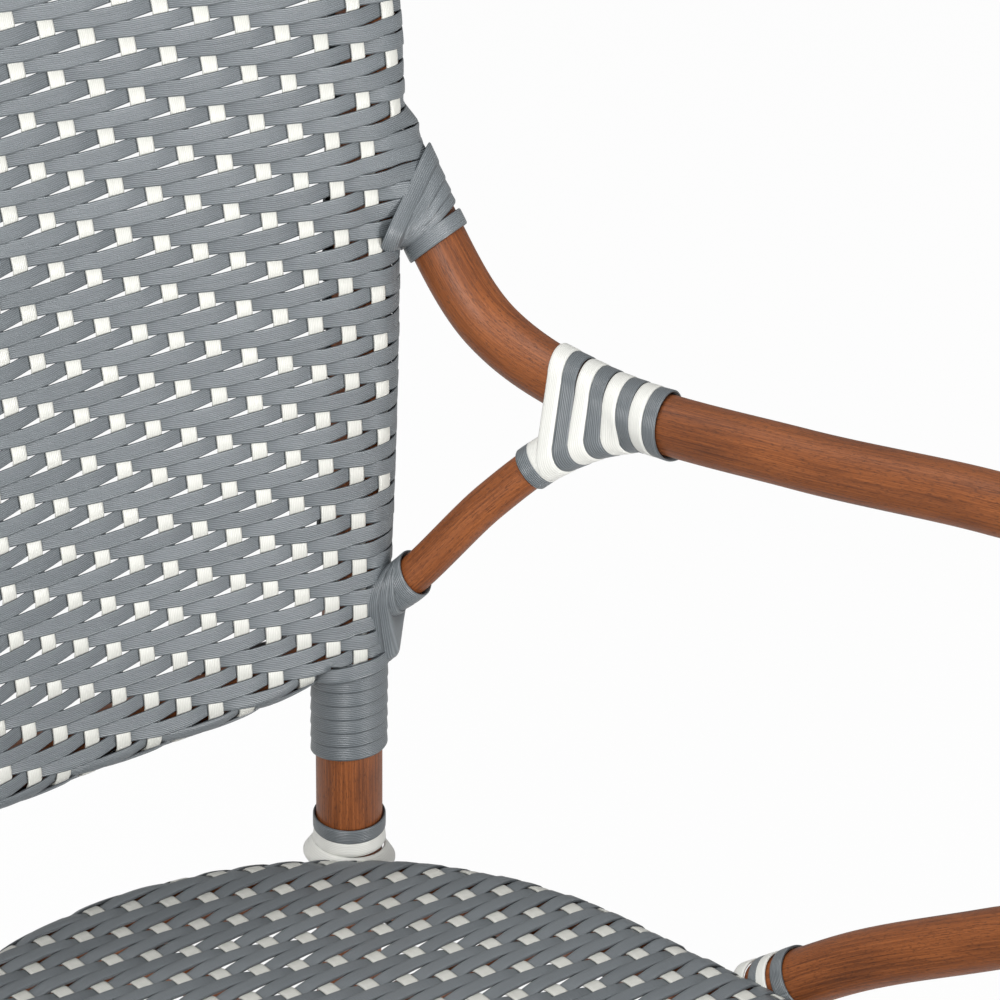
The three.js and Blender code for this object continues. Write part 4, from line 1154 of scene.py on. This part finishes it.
@dataclass
class Winding:
    """Flat strip wound round the hull of one or more poles, in planes that move and may turn.

    After t turns, counted from `first`, the plane goes through origin + pitch * t * normal, with the normal
    normal + turned * t. The strip keeps a gap from the hull, which grows by `lap` over its width.
    """

    members: list[Pole | Ball]
    origin: Array
    normal: Array
    pitch: float
    turns: float
    first: float = 0.0
    turned: tuple = (0.0, 0.0, 0.0)
    gap: float = 0.5
    lap: float = 0.0
    steps: int = 72
    strand: Strand = Strand()

    def add(self, shells: Shells, tone: float) -> None:
        """Add the strip: for each step, the hull's farthest point outwards in the plane of each section point."""
        count = int(round(self.turns * self.steps)) + 1
        turn = self.first + np.arange(count) / self.steps
        way = unit(np.asarray(self.normal, float))
        normal = unit(way + turn[:, None] * np.array(self.turned))
        aside = UP if abs(way[2]) < 0.7 else np.array([1.0, 0.0, 0.0])
        a = unit(np.cross(normal, aside))
        b = np.cross(normal, a)
        outward = a * np.cos(TURN * turn)[:, None] + b * np.sin(TURN * turn)[:, None]
        section = self.strand.section
        base = self.origin + way * (self.pitch * turn)[:, None]
        base = base[:, None] + normal[:, None] * section[:, 0, None]
        lift = self.gap + self.strand.thickness / 2 + section[:, 1]
        lift = np.tile(lift + self.lap * (section[:, 0] / self.strand.width + 0.5), count)
        shape = (count, len(section), 3)
        tables = (np.broadcast_to(table[:, None], shape).reshape(-1, 3) for table in (outward, normal))
        rings = self._hull(base.reshape(-1, 3), lift, *tables).reshape(shape)
        shells.sweep(rings, strand_grain(section, lengths_along(rings[:, 0]), tone), tone)

    def _hull(self, base: Array, lift: Array, outward: Array, normal: Array) -> Array:
        """Farthest points, outwards, of all members in the planes."""
        best, place = np.full((len(base), 1), -np.inf), np.zeros((len(base), 3))
        for member in self.members:
            distance, spot = member.farthest(base, lift, outward, normal, self.origin)
            place = np.where(distance > best, spot, place)
            best = np.maximum(distance, best)
        return place


# Materials


class Socket:
    """A shader socket whose sums and products add Math nodes."""

    def __init__(self, tree: "Tree", socket: bpy.types.NodeSocket | None) -> None:
        """Keep the socket and its tree."""
        self.tree, self.socket = tree, socket

    def _math(self, operation: str, *values: "Socket | float") -> "Socket":
        """A Math node of the operation."""
        inputs = dict(enumerate(values))
        return self.tree.add("ShaderNodeMath", {"operation": operation}, inputs)

    def __add__(self, other: "Socket | float") -> "Socket":
        """self + other."""
        return self._math("ADD", self, other)

    __radd__ = __add__

    def __mul__(self, other: "Socket | float") -> "Socket":
        """self * other."""
        return self._math("MULTIPLY", self, other)

    __rmul__ = __mul__

    def sine(self) -> "Socket":
        """Sine of self."""
        return self._math("SINE", self)


def opaque(tint: "Socket | tuple") -> "Socket | tuple":
    """A colour with full alpha; a socket stays as it is."""
    return tint if isinstance(tint, Socket) else (*tint, 1.0)


class Tree:
    """The nodes of a material or a world."""

    def __init__(self, owner: bpy.types.Material | bpy.types.World) -> None:
        """Start with an empty tree."""
        owner.use_nodes = True
        self.owner, self.nodes, self.links = owner, owner.node_tree.nodes, owner.node_tree.links
        self.nodes.clear()

    @classmethod
    def material(cls, name: str) -> "Tree":
        """The empty tree of a new material."""
        return cls(bpy.data.materials.new(name))

    def add(self, kind: str, settings: dict, inputs: dict, output: int | str = 0) -> Socket:
        """Add a node.

        Args:
            kind: The node's type.
            settings: Its settings; "stops" gives a ramp's stops as (place, colour).
            inputs: Values or sockets by input name or number.
            output: The output that is returned.

        Returns:
            The output's socket.
        """
        node = self.nodes.new(kind)
        for key, value in settings.items():
            if key == "stops":
                ramp = node.color_ramp
                while len(ramp.elements) < len(value):
                    ramp.elements.new(0.5)
                for element, (place, colour) in zip(ramp.elements, value):
                    element.position, element.color = place, (*colour, 1.0)
            else:
                setattr(node, key, value)
        for key, value in inputs.items():
            if isinstance(value, Socket):
                self.links.new(value.socket, node.inputs[key])
            else:
                node.inputs[key].default_value = value
        return Socket(self, node.outputs[output] if node.outputs else None)

    def attribute(self, name: str, output: str) -> Socket:
        """A piece's own attribute."""
        return self.add("ShaderNodeAttribute", {"attribute_name": name}, {}, output)

    def scaled(self, vector: Socket, scale: tuple[float, float, float]) -> Socket:
        """A vector with each part times its scale."""
        return self.add("ShaderNodeVectorMath", {"operation": "MULTIPLY"}, {0: vector, 1: scale})

    def noise(self, vector: Socket, scale: float, detail: float = 3.0, rough: float = 0.5) -> Socket:
        """Noise of about 0.5 over a vector."""
        return self.add("ShaderNodeTexNoise", {}, {
            "Vector": vector, "Scale": scale, "Detail": detail, "Roughness": rough})

    def ramp(self, value: Socket, stops: list) -> Socket:
        """A colour or value by stops."""
        return self.add("ShaderNodeValToRGB", {"stops": stops}, {0: value})

    def mixed(self, share: Socket, a: "Socket | tuple", b: "Socket | tuple") -> Socket:
        """Colour a, with the share of b."""
        return self.add("ShaderNodeMix", {"data_type": "RGBA"}, {0: share, 6: opaque(a), 7: opaque(b)}, 2)

    def bump(self, height: Socket, distance: float, strength: float = 1.0) -> Socket:
        """A bump of the height, in metres."""
        return self.add("ShaderNodeBump", {}, {"Height": height, "Distance": distance, "Strength": strength})

    def finish(self, tint: Socket, roughness: Socket, bump: Socket, settings: dict) -> bpy.types.Material:
        """End the tree in a Principled shader."""
        inputs = {"Base Color": tint, "Roughness": roughness, "Normal": bump, **settings}
        self.surface(self.add("ShaderNodeBsdfPrincipled", {}, inputs, "BSDF"))
        return self.owner

    def surface(self, shader: Socket, output: str = "ShaderNodeOutputMaterial") -> None:
        """Link a shader to the surface of an output node."""
        self.add(output, {}, {"Surface": shader})


def colour(red: int, green: int, blue: int) -> tuple[float, float, float]:
    """A screen colour as linear light."""
    def linear(value: int) -> float:
        part = value / 255
        return part / 12.92 if part <= 0.04045 else ((part + 0.055) / 1.055) ** 2.4
    return linear(red), linear(green), linear(blue)


@dataclass(frozen=True)
class Rattan:
    """Bent rattan pole: brown, with long dark streaks, darker specks and a satin varnish."""

    light: tuple = (158, 92, 48)
    middle: tuple = (132, 74, 37)
    dark: tuple = (92, 50, 27)
    speckle: tuple = (70, 38, 22)
    streak_scale: tuple = (1.6, 1.6, 0.03)
    broad_scale: tuple = (0.05, 0.05, 0.012)
    speck_scale: tuple = (2.6, 2.6, 0.35)
    stops: tuple = (0.40, 0.56, 0.72)
    roughness: float = 0.4
    relief: float = 0.00025

    def material(self) -> bpy.types.Material:
        """Streaks are noise stretched along the pole; specks are finer and darker."""
        tree = Tree.material("rattan_pole")
        grain = tree.attribute("grain", "Vector")
        streak = tree.noise(tree.scaled(grain, self.streak_scale), 1.0, 5.0, 0.62)
        broad = tree.noise(tree.scaled(grain, self.broad_scale), 1.0, 2.0)
        speck = tree.noise(tree.scaled(grain, self.speck_scale), 1.0, 2.0)
        mark = tree.ramp(speck, [(0.56, (0, 0, 0)), (0.66, (1, 1, 1))])
        value = streak * 0.75 + broad * 0.4
        shades = (colour(*shade) for shade in (self.dark, self.middle, self.light))
        base = tree.ramp(value, list(zip(self.stops, shades)))
        tint = tree.mixed(mark * 0.6, base, colour(*self.speckle))
        bump = tree.bump(streak + mark * -0.4, self.relief, 0.5)
        varnish = {"Coat Weight": 0.08, "Coat Roughness": 0.3, "Specular IOR Level": 0.4}
        return tree.finish(tint, self.roughness + streak * 0.15, bump, varnish)


@dataclass(frozen=True)
class StrandFinish:
    """Flat plastic strand: one colour with faint streaks, fine ridges along it and darker edges of painted seam shade.
    """

    name: str
    base: tuple
    shade: tuple
    # rim: the colour of the painted shade in the seams between neighbouring strands
    rim: tuple = (52, 56, 60)
    roughness: float = 0.3
    shine: float = 0.75
    ridges: float = 0.85
    relief: float = 0.00016
    # edge: how much painted seam shade darkens the strand's edges
    edge: float = 0.7

    def material(self) -> bpy.types.Material:
        """Ridges are a sine across the strand, streaks are noise stretched along it, and the edges get painted seam
        shade.
        """
        tree = Tree.material(self.name)
        grain = tree.attribute("grain", "Vector")
        tone = tree.attribute("tone", "Fac")
        across = tree.add("ShaderNodeSeparateXYZ", {}, {0: grain}, "X")
        ridge = (across * (TURN / self.ridges)).sine() * 0.5 + 0.5
        streak = tree.noise(tree.scaled(grain, (2.6, 0.4, 0.03)), 1.0, 3.0)
        # The ridge term is painted shade: the colour darkens in the grooves between the ridges; streak and tone are
        # the strand's own colour.
        value = streak * 0.45 + tone * 0.2 + ridge * 0.5
        tint = tree.ramp(value, [(0.2, colour(*self.shade)), (0.8, colour(*self.base))])
        # Painted shade: towards the edges the tint darkens to the rim colour, standing in for the shade in the seams
        # between strands
        edge = tree.ramp(across * across * (1 / 14), [(0.74, (0, 0, 0)), (0.95, (1, 1, 1))])
        tint = tree.mixed(edge * self.edge, tint, colour(*self.rim))
        bump = tree.bump(ridge + streak * 0.25, self.relief, 1.0)
        return tree.finish(tint, self.roughness + streak * 0.12, bump, {"Specular IOR Level": self.shine})


@dataclass(frozen=True)
class Glide:
    """Moulded plastic glide: near black, with a fine mottle."""

    def material(self) -> bpy.types.Material:
        """A fine noise in colour, roughness and bump."""
        tree = Tree.material("glide_plastic")
        place = tree.add("ShaderNodeTexCoord", {}, {}, "Object")
        mottle = tree.noise(place, 900.0, 3.0)
        tint = tree.mixed(mottle, colour(38, 34, 31), colour(56, 51, 47))
        return tree.finish(tint, 0.5 + mottle * 0.2, tree.bump(mottle, 0.0001, 0.5), {})


@dataclass(frozen=True)
class ScrewSteel:
    """Plain zinc-plated screw: grey metal with fine turning marks."""

    def material(self) -> bpy.types.Material:
        """Fine noise in roughness and bump on a metal."""
        tree = Tree.material("screw_steel")
        place = tree.add("ShaderNodeTexCoord", {}, {}, "Object")
        mark = tree.noise(place, 1400.0, 2.0)
        tint = tree.mixed(mark, colour(168, 168, 164), colour(196, 196, 192))
        return tree.finish(tint, 0.25 + mark * 0.25, tree.bump(mark, 0.00005, 0.4), {"Metallic": 1.0})


class Finishes:
    """Every material, made once."""

    def __init__(self) -> None:
        """Make the materials."""
        self.rattan = Rattan().material()
        self.grey_strand = StrandFinish("grey_strand", (122, 128, 132), (88, 94, 98)).material()
        # The strands and the strips are one white plastic in two copies: the strands' white is made darker than the
        # strips' white, as painted shade.
        self.white_strand = StrandFinish(
            "white_strand", (214, 214, 207), (198, 198, 191), relief=0.00007, edge=0.08).material()
        self.grey_strip = StrandFinish("grey_strip", (120, 126, 130), (90, 96, 100)).material()
        self.white_strip = StrandFinish(
            "white_strip", (236, 236, 230), (224, 224, 218), relief=0.00006, edge=0.08).material()
        self.glide = Glide().material()
        self.steel = ScrewSteel().material()


# The chair's own pieces


@dataclass
class Poles:
    """Every pole of the frame, drawn round and smooth.

    Poles under the weave are drawn thinner by `tuck`, and an arm grows by root_taper over its first root_length.
    """

    frame: Frame
    sides: int = 40
    tuck: float = 2.2
    root_taper: float = 11.0
    root_length: float = 30.0

    def build(self, finishes: Finishes) -> dict[str, Pole]:
        """Make the poles and return them by name."""
        poles = {**self._uprights(), **self._rails(), **self._arches()}
        random = np.random.default_rng(3)
        for name, pole in poles.items():
            points, grain = pole.rings(self.sides, self._growth(name, pole))
            shells = Shells()
            tone = float(random.random())
            shells.sweep(points, grain + np.array([0, 0, 2 * TONE_SHIFT * tone]), tone)
            shells.piece(f"{name}_pole", finishes.rattan, "rattan", name)
        return poles

    def _hoop_end(self, side: Side, share: float) -> Stretch:
        """The hoop from one foot to a share of it, or as far from the other foot."""
        return Stretch(self.frame.hoop, *((0.0, share) if side is Side.LEFT else (1.0, 1 - share)))

    def _uprights(self) -> dict[str, Pole]:
        """Posts, front legs, arms and braces of both sides."""
        s, frame, poles = self.frame.sizes, self.frame, {}
        for side in SIDES:
            post, leg = self._hoop_end(side, frame.shoulder).samples(260), frame.legs[side].samples(60)
            post, leg = (line[line[:, 2] > s.glide_height + s.gap] for line in (post, leg))
            poles[f"rear_post_{side.label}"] = Pole(post, s.post_radius, Y)
            poles[f"front_leg_{side.label}"] = Pole(leg, s.leg_radius, X)
            poles[f"arm_{side.label}"] = Pole(frame.arms[side].samples(330), s.arm_radius, X)
            poles[f"arm_brace_{side.label}"] = Pole(frame.braces[side].samples(90), s.brace_radius, X)
        return poles

    def _rails(self) -> dict[str, Pole]:
        """The back's two rails, the seat's rails and its cross bars."""
        s, frame = self.frame.sizes, self.frame
        crest = Stretch(frame.hoop, frame.shoulder, 1 - frame.shoulder).samples(160)
        poles = {"top_rail": Pole(crest, s.post_radius, Y),
                 "back_bottom_rail": Pole(frame.bottom.samples(80), s.rail_radius, UP)}
        for name, line in frame.seat_parts(8.0).items():
            poles[name] = Pole(line, s.rail_radius, UP)
        for name, reach in zip(("rear", "front"), s.bar_reaches):
            end = np.array([frame.seat_side(reach), -reach, s.rail_level - s.bar_drop])
            poles[f"seat_cross_bar_{name}"] = Pole(Straight(mirrored(end, -1), end).samples(60), s.bar_radius, UP)
        return poles

    def _arches(self) -> dict[str, Pole]:
        """The arches between neighbouring legs."""
        s, front = self.frame.sizes, self.frame.legs
        rear = {side: self._hoop_end(side, self.frame.seat_share) for side in SIDES}
        middle = (self.frame.side_start + self.frame.side_end) / 2
        arches = {
            "front": (front[Side.LEFT], front[Side.RIGHT], np.array([0, -s.seat_front, 0]), Y),
            "rear": (rear[Side.LEFT], rear[Side.RIGHT], np.array([0, s.seat_radius, 0]), Y),
            "left": (front[Side.LEFT], rear[Side.LEFT], middle, X),
            "right": (front[Side.RIGHT], rear[Side.RIGHT], mirrored(middle, -1), X),
        }
        return {f"leg_arch_{name}": Pole(self.frame.arch(a, b, under).samples(200), s.arch_radius, beside)
                for name, (a, b, under, beside) in arches.items()}

    def _growth(self, name: str, pole: Pole) -> Array:
        """What is added to a pole's radius along it."""
        if name.startswith("rear_post"):
            return -self.tuck * np.clip((pole.line[:, 2] - self.frame.sizes.waist_level - 8) / 8, 0, 1)
        if name.startswith("arm_") and "brace" not in name:
            return -self.root_taper * np.clip(1 - lengths_along(pole.line) / self.root_length, 0, 1)
        tucked = name in ("top_rail", "back_bottom_rail")
        return np.full(len(pole.line), -self.tuck if tucked else 0.0)


@dataclass(frozen=True)
class Fan:
    """Strip loops where a pole leaves the post, over round pads, with a ring beyond them.

    Pads are (centre, radius). Loops and the ring are (a point of the plane, its normal), on the sitter's left.
    """

    pole: str
    piece: str
    pads: tuple
    loops: tuple
    ring: tuple
    gap: float = 1.7
    gap_step: float = -0.4


FANS = (
    Fan("arm", "arm_root", (((162, 174, 740), 7.0),), (
        ((166.3, 173.1, 735.0), (0.594, -0.73, -0.34)), ((167.0, 172.0, 734.3), (0.56, -0.66, -0.5)),
        ((167.8, 171.0, 733.6), (0.5, -0.61, -0.62)), ((168.6, 170.2, 733.0), (0.43, -0.55, -0.715)),
    ), ((176, 165, 733), (0.25, -0.62, -0.74))),
    Fan("arm_brace", "brace_root", (((140.5, 150.1, 552.5), 4.5), ((134.5, 160, 582), 7.5)), (
        ((141.8, 149.5, 592.1), (0.33, -0.943, -0.02)), ((142.2, 147.3, 592.1), (0.46, -0.88, 0.02)),
        ((142.6, 146.6, 591.9), (0.54, -0.82, 0.12)), ((143.0, 145.0, 591.5), (0.52, -0.78, 0.34)),
    ), ((144.5, 138.5, 588), (0.38, -0.72, 0.58))),
)


@dataclass
class Bindings:
    """Flat strip wound round the joints.

    Places along a pole are given by the Y or Z at which it is wound, sizes by their turns and pitches.
    """

    frame: Frame
    poles: dict[str, Pole]
    finishes: Finishes
    stripes_back: float = 96.0
    stripes_normal: tuple = (0.25, -0.955, 0.15)
    stripes_turned: tuple = (0.0, 0.0, -0.055)
    stripe_step: float = 7.1
    stripe_turns: float = 4.0
    collars_back: float = 93.2
    collar_step: float = 4.0
    post_wrap_top: float = 553.8
    post_wrap_pitch: float = 6.75
    post_wrap_turns: float = 7.0
    post_pad: tuple = (-6.5, 0.0, -7.0)
    post_pad_radius: float = 14.5
    seat_ring_rise: float = 8.5
    level_drop: float = 7.0
    cone_drop: float = 15.5
    arm_end_back: float = -51.5
    arm_end_step: float = 7.0
    arm_end_shifts: tuple = (0.0, 13.2)
    leg_pitch: float = 6.9
    leg_lap: float = 0.55

    def build(self) -> None:
        """Make the bindings of both sides."""
        for side in SIDES:
            self._stripes(side)
            self._roots(side)
            self._post(side)
            self._arm_end(side)
            self._legs(side)

    def _make(self, side: Side, name: str, windings: list[Winding], word: str, node: str) -> None:
        """Make one piece of some windings in the strip of a colour, in place of a side's node."""
        shells = Shells()
        for i, winding in enumerate(windings):
            winding.add(shells, (i * 0.37 + 0.2) % 1.0)
        finish = {"grey": self.finishes.grey_strip, "white": self.finishes.white_strip}[word]
        shells.piece(f"{name}_{side.label}", finish, f"{word}_strip", f"{node}_{side.label}")

    def _stripes(self, side: Side) -> None:
        """White and grey strips side by side round arm and brace, and two collars on the brace."""
        arm, brace = self.poles[f"arm_{side.label}"], self.poles[f"arm_brace_{side.label}"]
        half = arm.part(slice(len(arm.line) // 2))
        origin, _ = half.near(y_of, self.stripes_back)
        normal = unit(mirrored(self.stripes_normal, side.value))
        for k, word in enumerate(("white", "grey")):
            winding = Winding([half, brace], origin + self.stripe_step * k * normal, normal, 2 * self.stripe_step,
                              self.stripe_turns, side.first, self.stripes_turned, gap=0.7, lap=0.3)
            self._make(side, f"stripes_{word}", [winding], word, f"stripe_wrap_{word}")
            spot, direction = brace.near(y_of, self.collars_back + self.collar_step * k)
            self._make(side, f"collar_{word}", [Winding([brace], spot, direction, 0.0, 1.0, 0.5)], word,
                       f"brace_collar_{word}")

    def _roots(self, side: Side) -> None:
        """Fans of strip loops where arm and brace leave the post, each with a ring below it."""
        for fan in FANS:
            pole = self.poles[f"{fan.pole}_{side.label}"]
            half = pole.part(slice(len(pole.line) // 2))
            balls = [Ball(mirrored(centre, side.value), radius) for centre, radius in fan.pads]
            windings = [
                Winding([half, *balls], *(mirrored(vector, side.value) for vector in loop), 0.0, 1.0, side.first,
                        gap=fan.gap + fan.gap_step * k, lap=0.4)
                for k, loop in enumerate(fan.loops)]
            ring = (mirrored(vector, side.value) for vector in fan.ring)
            windings.append(Winding([half], *ring, 0.0, 1.0, 0.5, gap=1.0))
            self._make(side, fan.piece, windings, "grey", f"{fan.piece}_wrap")

    def _post(self, side: Side) -> None:
        """The wrap under the back, and the ring and the cone on the seat."""
        post = self.poles[f"rear_post_{side.label}"]
        origin, along = post.near(z_of, self.post_wrap_top)
        down = unit(-along * np.sign(along[2]) + mirrored([0.05, 0, 0], side.value))
        wrap = Winding([post], origin, down, self.post_wrap_pitch, self.post_wrap_turns, 0.45, gap=0.8, lap=0.6)
        pad = Ball(origin + mirrored(self.post_pad, side.value), self.post_pad_radius)
        over = Winding([post, pad], origin + 6.5 * down, unit(down + mirrored([0.1, 0, 0], side.value)), 0.0, 1.0,
                       0.5, gap=1.6, lap=0.4)
        self._make(side, "post_binding", [wrap, over], "grey", "post_wrap")
        origin, along = post.near(z_of, self.frame.sizes.seat_height + self.seat_ring_rise)
        along = along * np.sign(along[2])
        ring = Winding([post], origin, along, 0.0, 1.0)
        self._make(side, "seat_ring_grey", [ring], "grey", "seat_post_ring_grey")
        level = Winding([post], origin - self.level_drop * along, along, 0.0, 1.0, gap=0.7, lap=-0.8)
        slanted = unit(along + mirrored([0.12, 0.0, 0], side.value))
        cone = Winding([post], origin - self.cone_drop * along, slanted, 0.0, 1.0, gap=5.4, lap=-4.8)
        self._make(side, "seat_ring_white", [level, cone], "white", "seat_post_ring_white")

    def _arm_end(self, side: Side) -> None:
        """Rings where the arm comes back to the seat; its line is drawn on, so that no plane misses it."""
        arm = self.poles[f"arm_{side.label}"]
        late = arm.part(slice(3 * len(arm.line) // 4, None))
        beyond = late.line[-1] + np.linspace(0.5, 24.0, 48)[:, None] * unit(late.line[-1] - late.line[-5])
        late = Pole(np.vstack([late.line, beyond]), arm.radius, arm.beside)
        for k, word in enumerate(("grey", "white")):
            origin, along = late.near(y_of, self.arm_end_back + self.arm_end_step * k)
            rings = [Winding([late], origin + shift * along, along, 0.0, 1.0, 0.5)
                     for shift in self.arm_end_shifts]
            self._make(side, f"arm_end_{word}", rings, word, f"arm_end_ring_{word}")

    def _legs(self, side: Side) -> None:
        """Wraps round each leg and its arches, and at the top of the front leg."""
        s = self.frame.sizes
        leg = self.poles[f"front_leg_{side.label}"]
        for end, upright in (("front", leg), ("rear", self.poles[f"rear_post_{side.label}"])):
            base = upright.line[np.argmin(np.abs(upright.line[:, 2] - s.arch_foot))]
            arches = []
            for arch in (self.poles[f"leg_arch_{end}"], self.poles[f"leg_arch_{side.label}"]):
                low = arch.part(arch.line[:, 2] < s.arch_foot + s.arch_lap)
                arches.append(low.part(np.linalg.norm((low.line - base)[:, :2], axis=1) < 4 * s.leg_radius))
            origin, _ = upright.near(z_of, s.arch_foot + 7)
            winding = Winding([upright, *arches], origin, UP, self.leg_pitch, 3.0, lap=self.leg_lap)
            self._make(side, f"{end}_leg_binding", [winding], "grey", f"{end}_leg_wrap")
        origin, along = leg.near(z_of, s.rail_level - s.rail_radius - s.skin - 6)
        winding = Winding([leg], origin, -along * np.sign(along[2]), self.leg_pitch, 2.0, lap=self.leg_lap)
        self._make(side, "front_leg_top_binding", [winding], "grey", "front_leg_top_wrap")


# Camera, light and floor


@dataclass(frozen=True)
class Studio:
    """The photograph's view, soft light from its left and a pale floor; lamps and floor are in metres."""

    camera_place: tuple = (-832.5, -1176.52, 1479.1)
    looks_at: tuple = (247.7, 203.98, 568.8)
    focal: float = 152.83
    lamps: tuple = (
        ("key_lamp", (-2.6, -1.8, 2.4), 1.6, 84.0),
        ("front_lamp", (0.9, -3.5, 0.6), 1.3, 90.0),
        ("top_lamp", (-0.4, 0.4, 3.4), 2.0, 42.0),
    )
    ambient: float = 0.3
    floor_glow: float = 0.96
    floor_half: float = 6.0

    def build(self) -> None:
        """Make the camera, the lamps, the world and the floor."""
        scene = bpy.context.scene
        scene.view_settings.view_transform = "Standard"
        data = bpy.data.cameras.new("camera")
        data.sensor_width, data.lens = 36.0, self.focal
        data.clip_start, data.clip_end = 0.05, 50.0
        camera = bpy.data.objects.new("camera", data)
        scene.collection.objects.link(camera)
        place, target = (Vector(placed(np.array(spot))) for spot in (self.camera_place, self.looks_at))
        camera.location = place
        camera.rotation_euler = (target - place).to_track_quat("-Z", "Y").to_euler()
        scene.camera = camera
        for name, place, size, power in self.lamps:
            self._lamp(name, place, size, power)
        self._world(scene)
        self._floor()

    @staticmethod
    def _lamp(name: str, place: tuple, size: float, power: float) -> None:
        """A square soft lamp that looks at the chair's middle."""
        data = bpy.data.lights.new(name, "AREA")
        data.shape, data.size, data.energy = "SQUARE", size, power
        lamp = bpy.data.objects.new(name, data)
        bpy.context.scene.collection.objects.link(lamp)
        lamp.location = place
        lamp.rotation_euler = (Vector((0, 0, 0.5)) - Vector(place)).to_track_quat("-Z", "Y").to_euler()

    def _world(self, scene: bpy.types.Scene) -> None:
        """Plain light all round, seen as white."""
        scene.world = bpy.data.worlds.new("studio")
        tree = Tree(scene.world)
        seen_straight = tree.add("ShaderNodeLightPath", {}, {}, "Is Camera Ray")
        light, seen = (tree.add("ShaderNodeBackground", {}, {"Color": WHITE, "Strength": strength})
                       for strength in (self.ambient, 1.0))
        both = tree.add("ShaderNodeMixShader", {}, {0: seen_straight, 1: light, 2: seen})
        tree.surface(both, "ShaderNodeOutputWorld")

    def _floor(self) -> None:
        """A pale floor that the camera sees almost white, with the chair's soft shadow."""
        mesh, half = bpy.data.meshes.new("floor"), self.floor_half
        corners = [(-half, -half, 0), (half, -half, 0), (half, half, 0), (-half, half, 0)]
        mesh.from_pydata(corners, [], [(0, 1, 2, 3)])
        tree = Tree.material("floor_paint")
        path = tree.add("ShaderNodeLightPath", {}, {}, "Is Camera Ray")
        pale = {"Base Color": (0.86, 0.86, 0.855, 1.0), "Roughness": 0.8}
        paint = tree.add("ShaderNodeBsdfPrincipled", {}, pale)
        glow = tree.add("ShaderNodeEmission", {}, {"Color": WHITE, "Strength": 1.0})
        tree.surface(tree.add("ShaderNodeMixShader", {}, {0: path * self.floor_glow, 1: paint, 2: glow}))
        mesh.materials.append(tree.owner)
        floor = bpy.data.objects.new("floor", mesh)
        bpy.context.scene.collection.objects.link(floor)


def dress(frame: dict, finishes: Finishes) -> None:
    """Give the CAD nodes that stay their materials."""
    for name, node in frame["nodes"].items():
        if name.startswith("glide") or "screw" in name:
            for slot in node.material_slots:
                slot.material = finishes.glide if name.startswith("glide") else finishes.steel


def main() -> None:
    """Build the chair over its frame."""
    logging.basicConfig(level=logging.INFO, format="%(message)s")
    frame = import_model()
    Studio().build()
    finishes = Finishes()
    lines = Frame(Sizes())
    poles = Poles(lines).build(finishes)
    arms = tuple(poles[f"arm_{side.label}"] for side in SIDES)
    WovenBack(BackSheet(arms=arms)).build(finishes)
    level = lines.sizes.seat_height - WEAVE_SUNK
    WovenSeat(SeatSheet(lines.seat_ring(1.0), level, level - lines.sizes.rail_level)).build(finishes)
    Bindings(lines, poles, finishes).build()
    dress(frame, finishes)


if __name__ == "__main__":
    main()
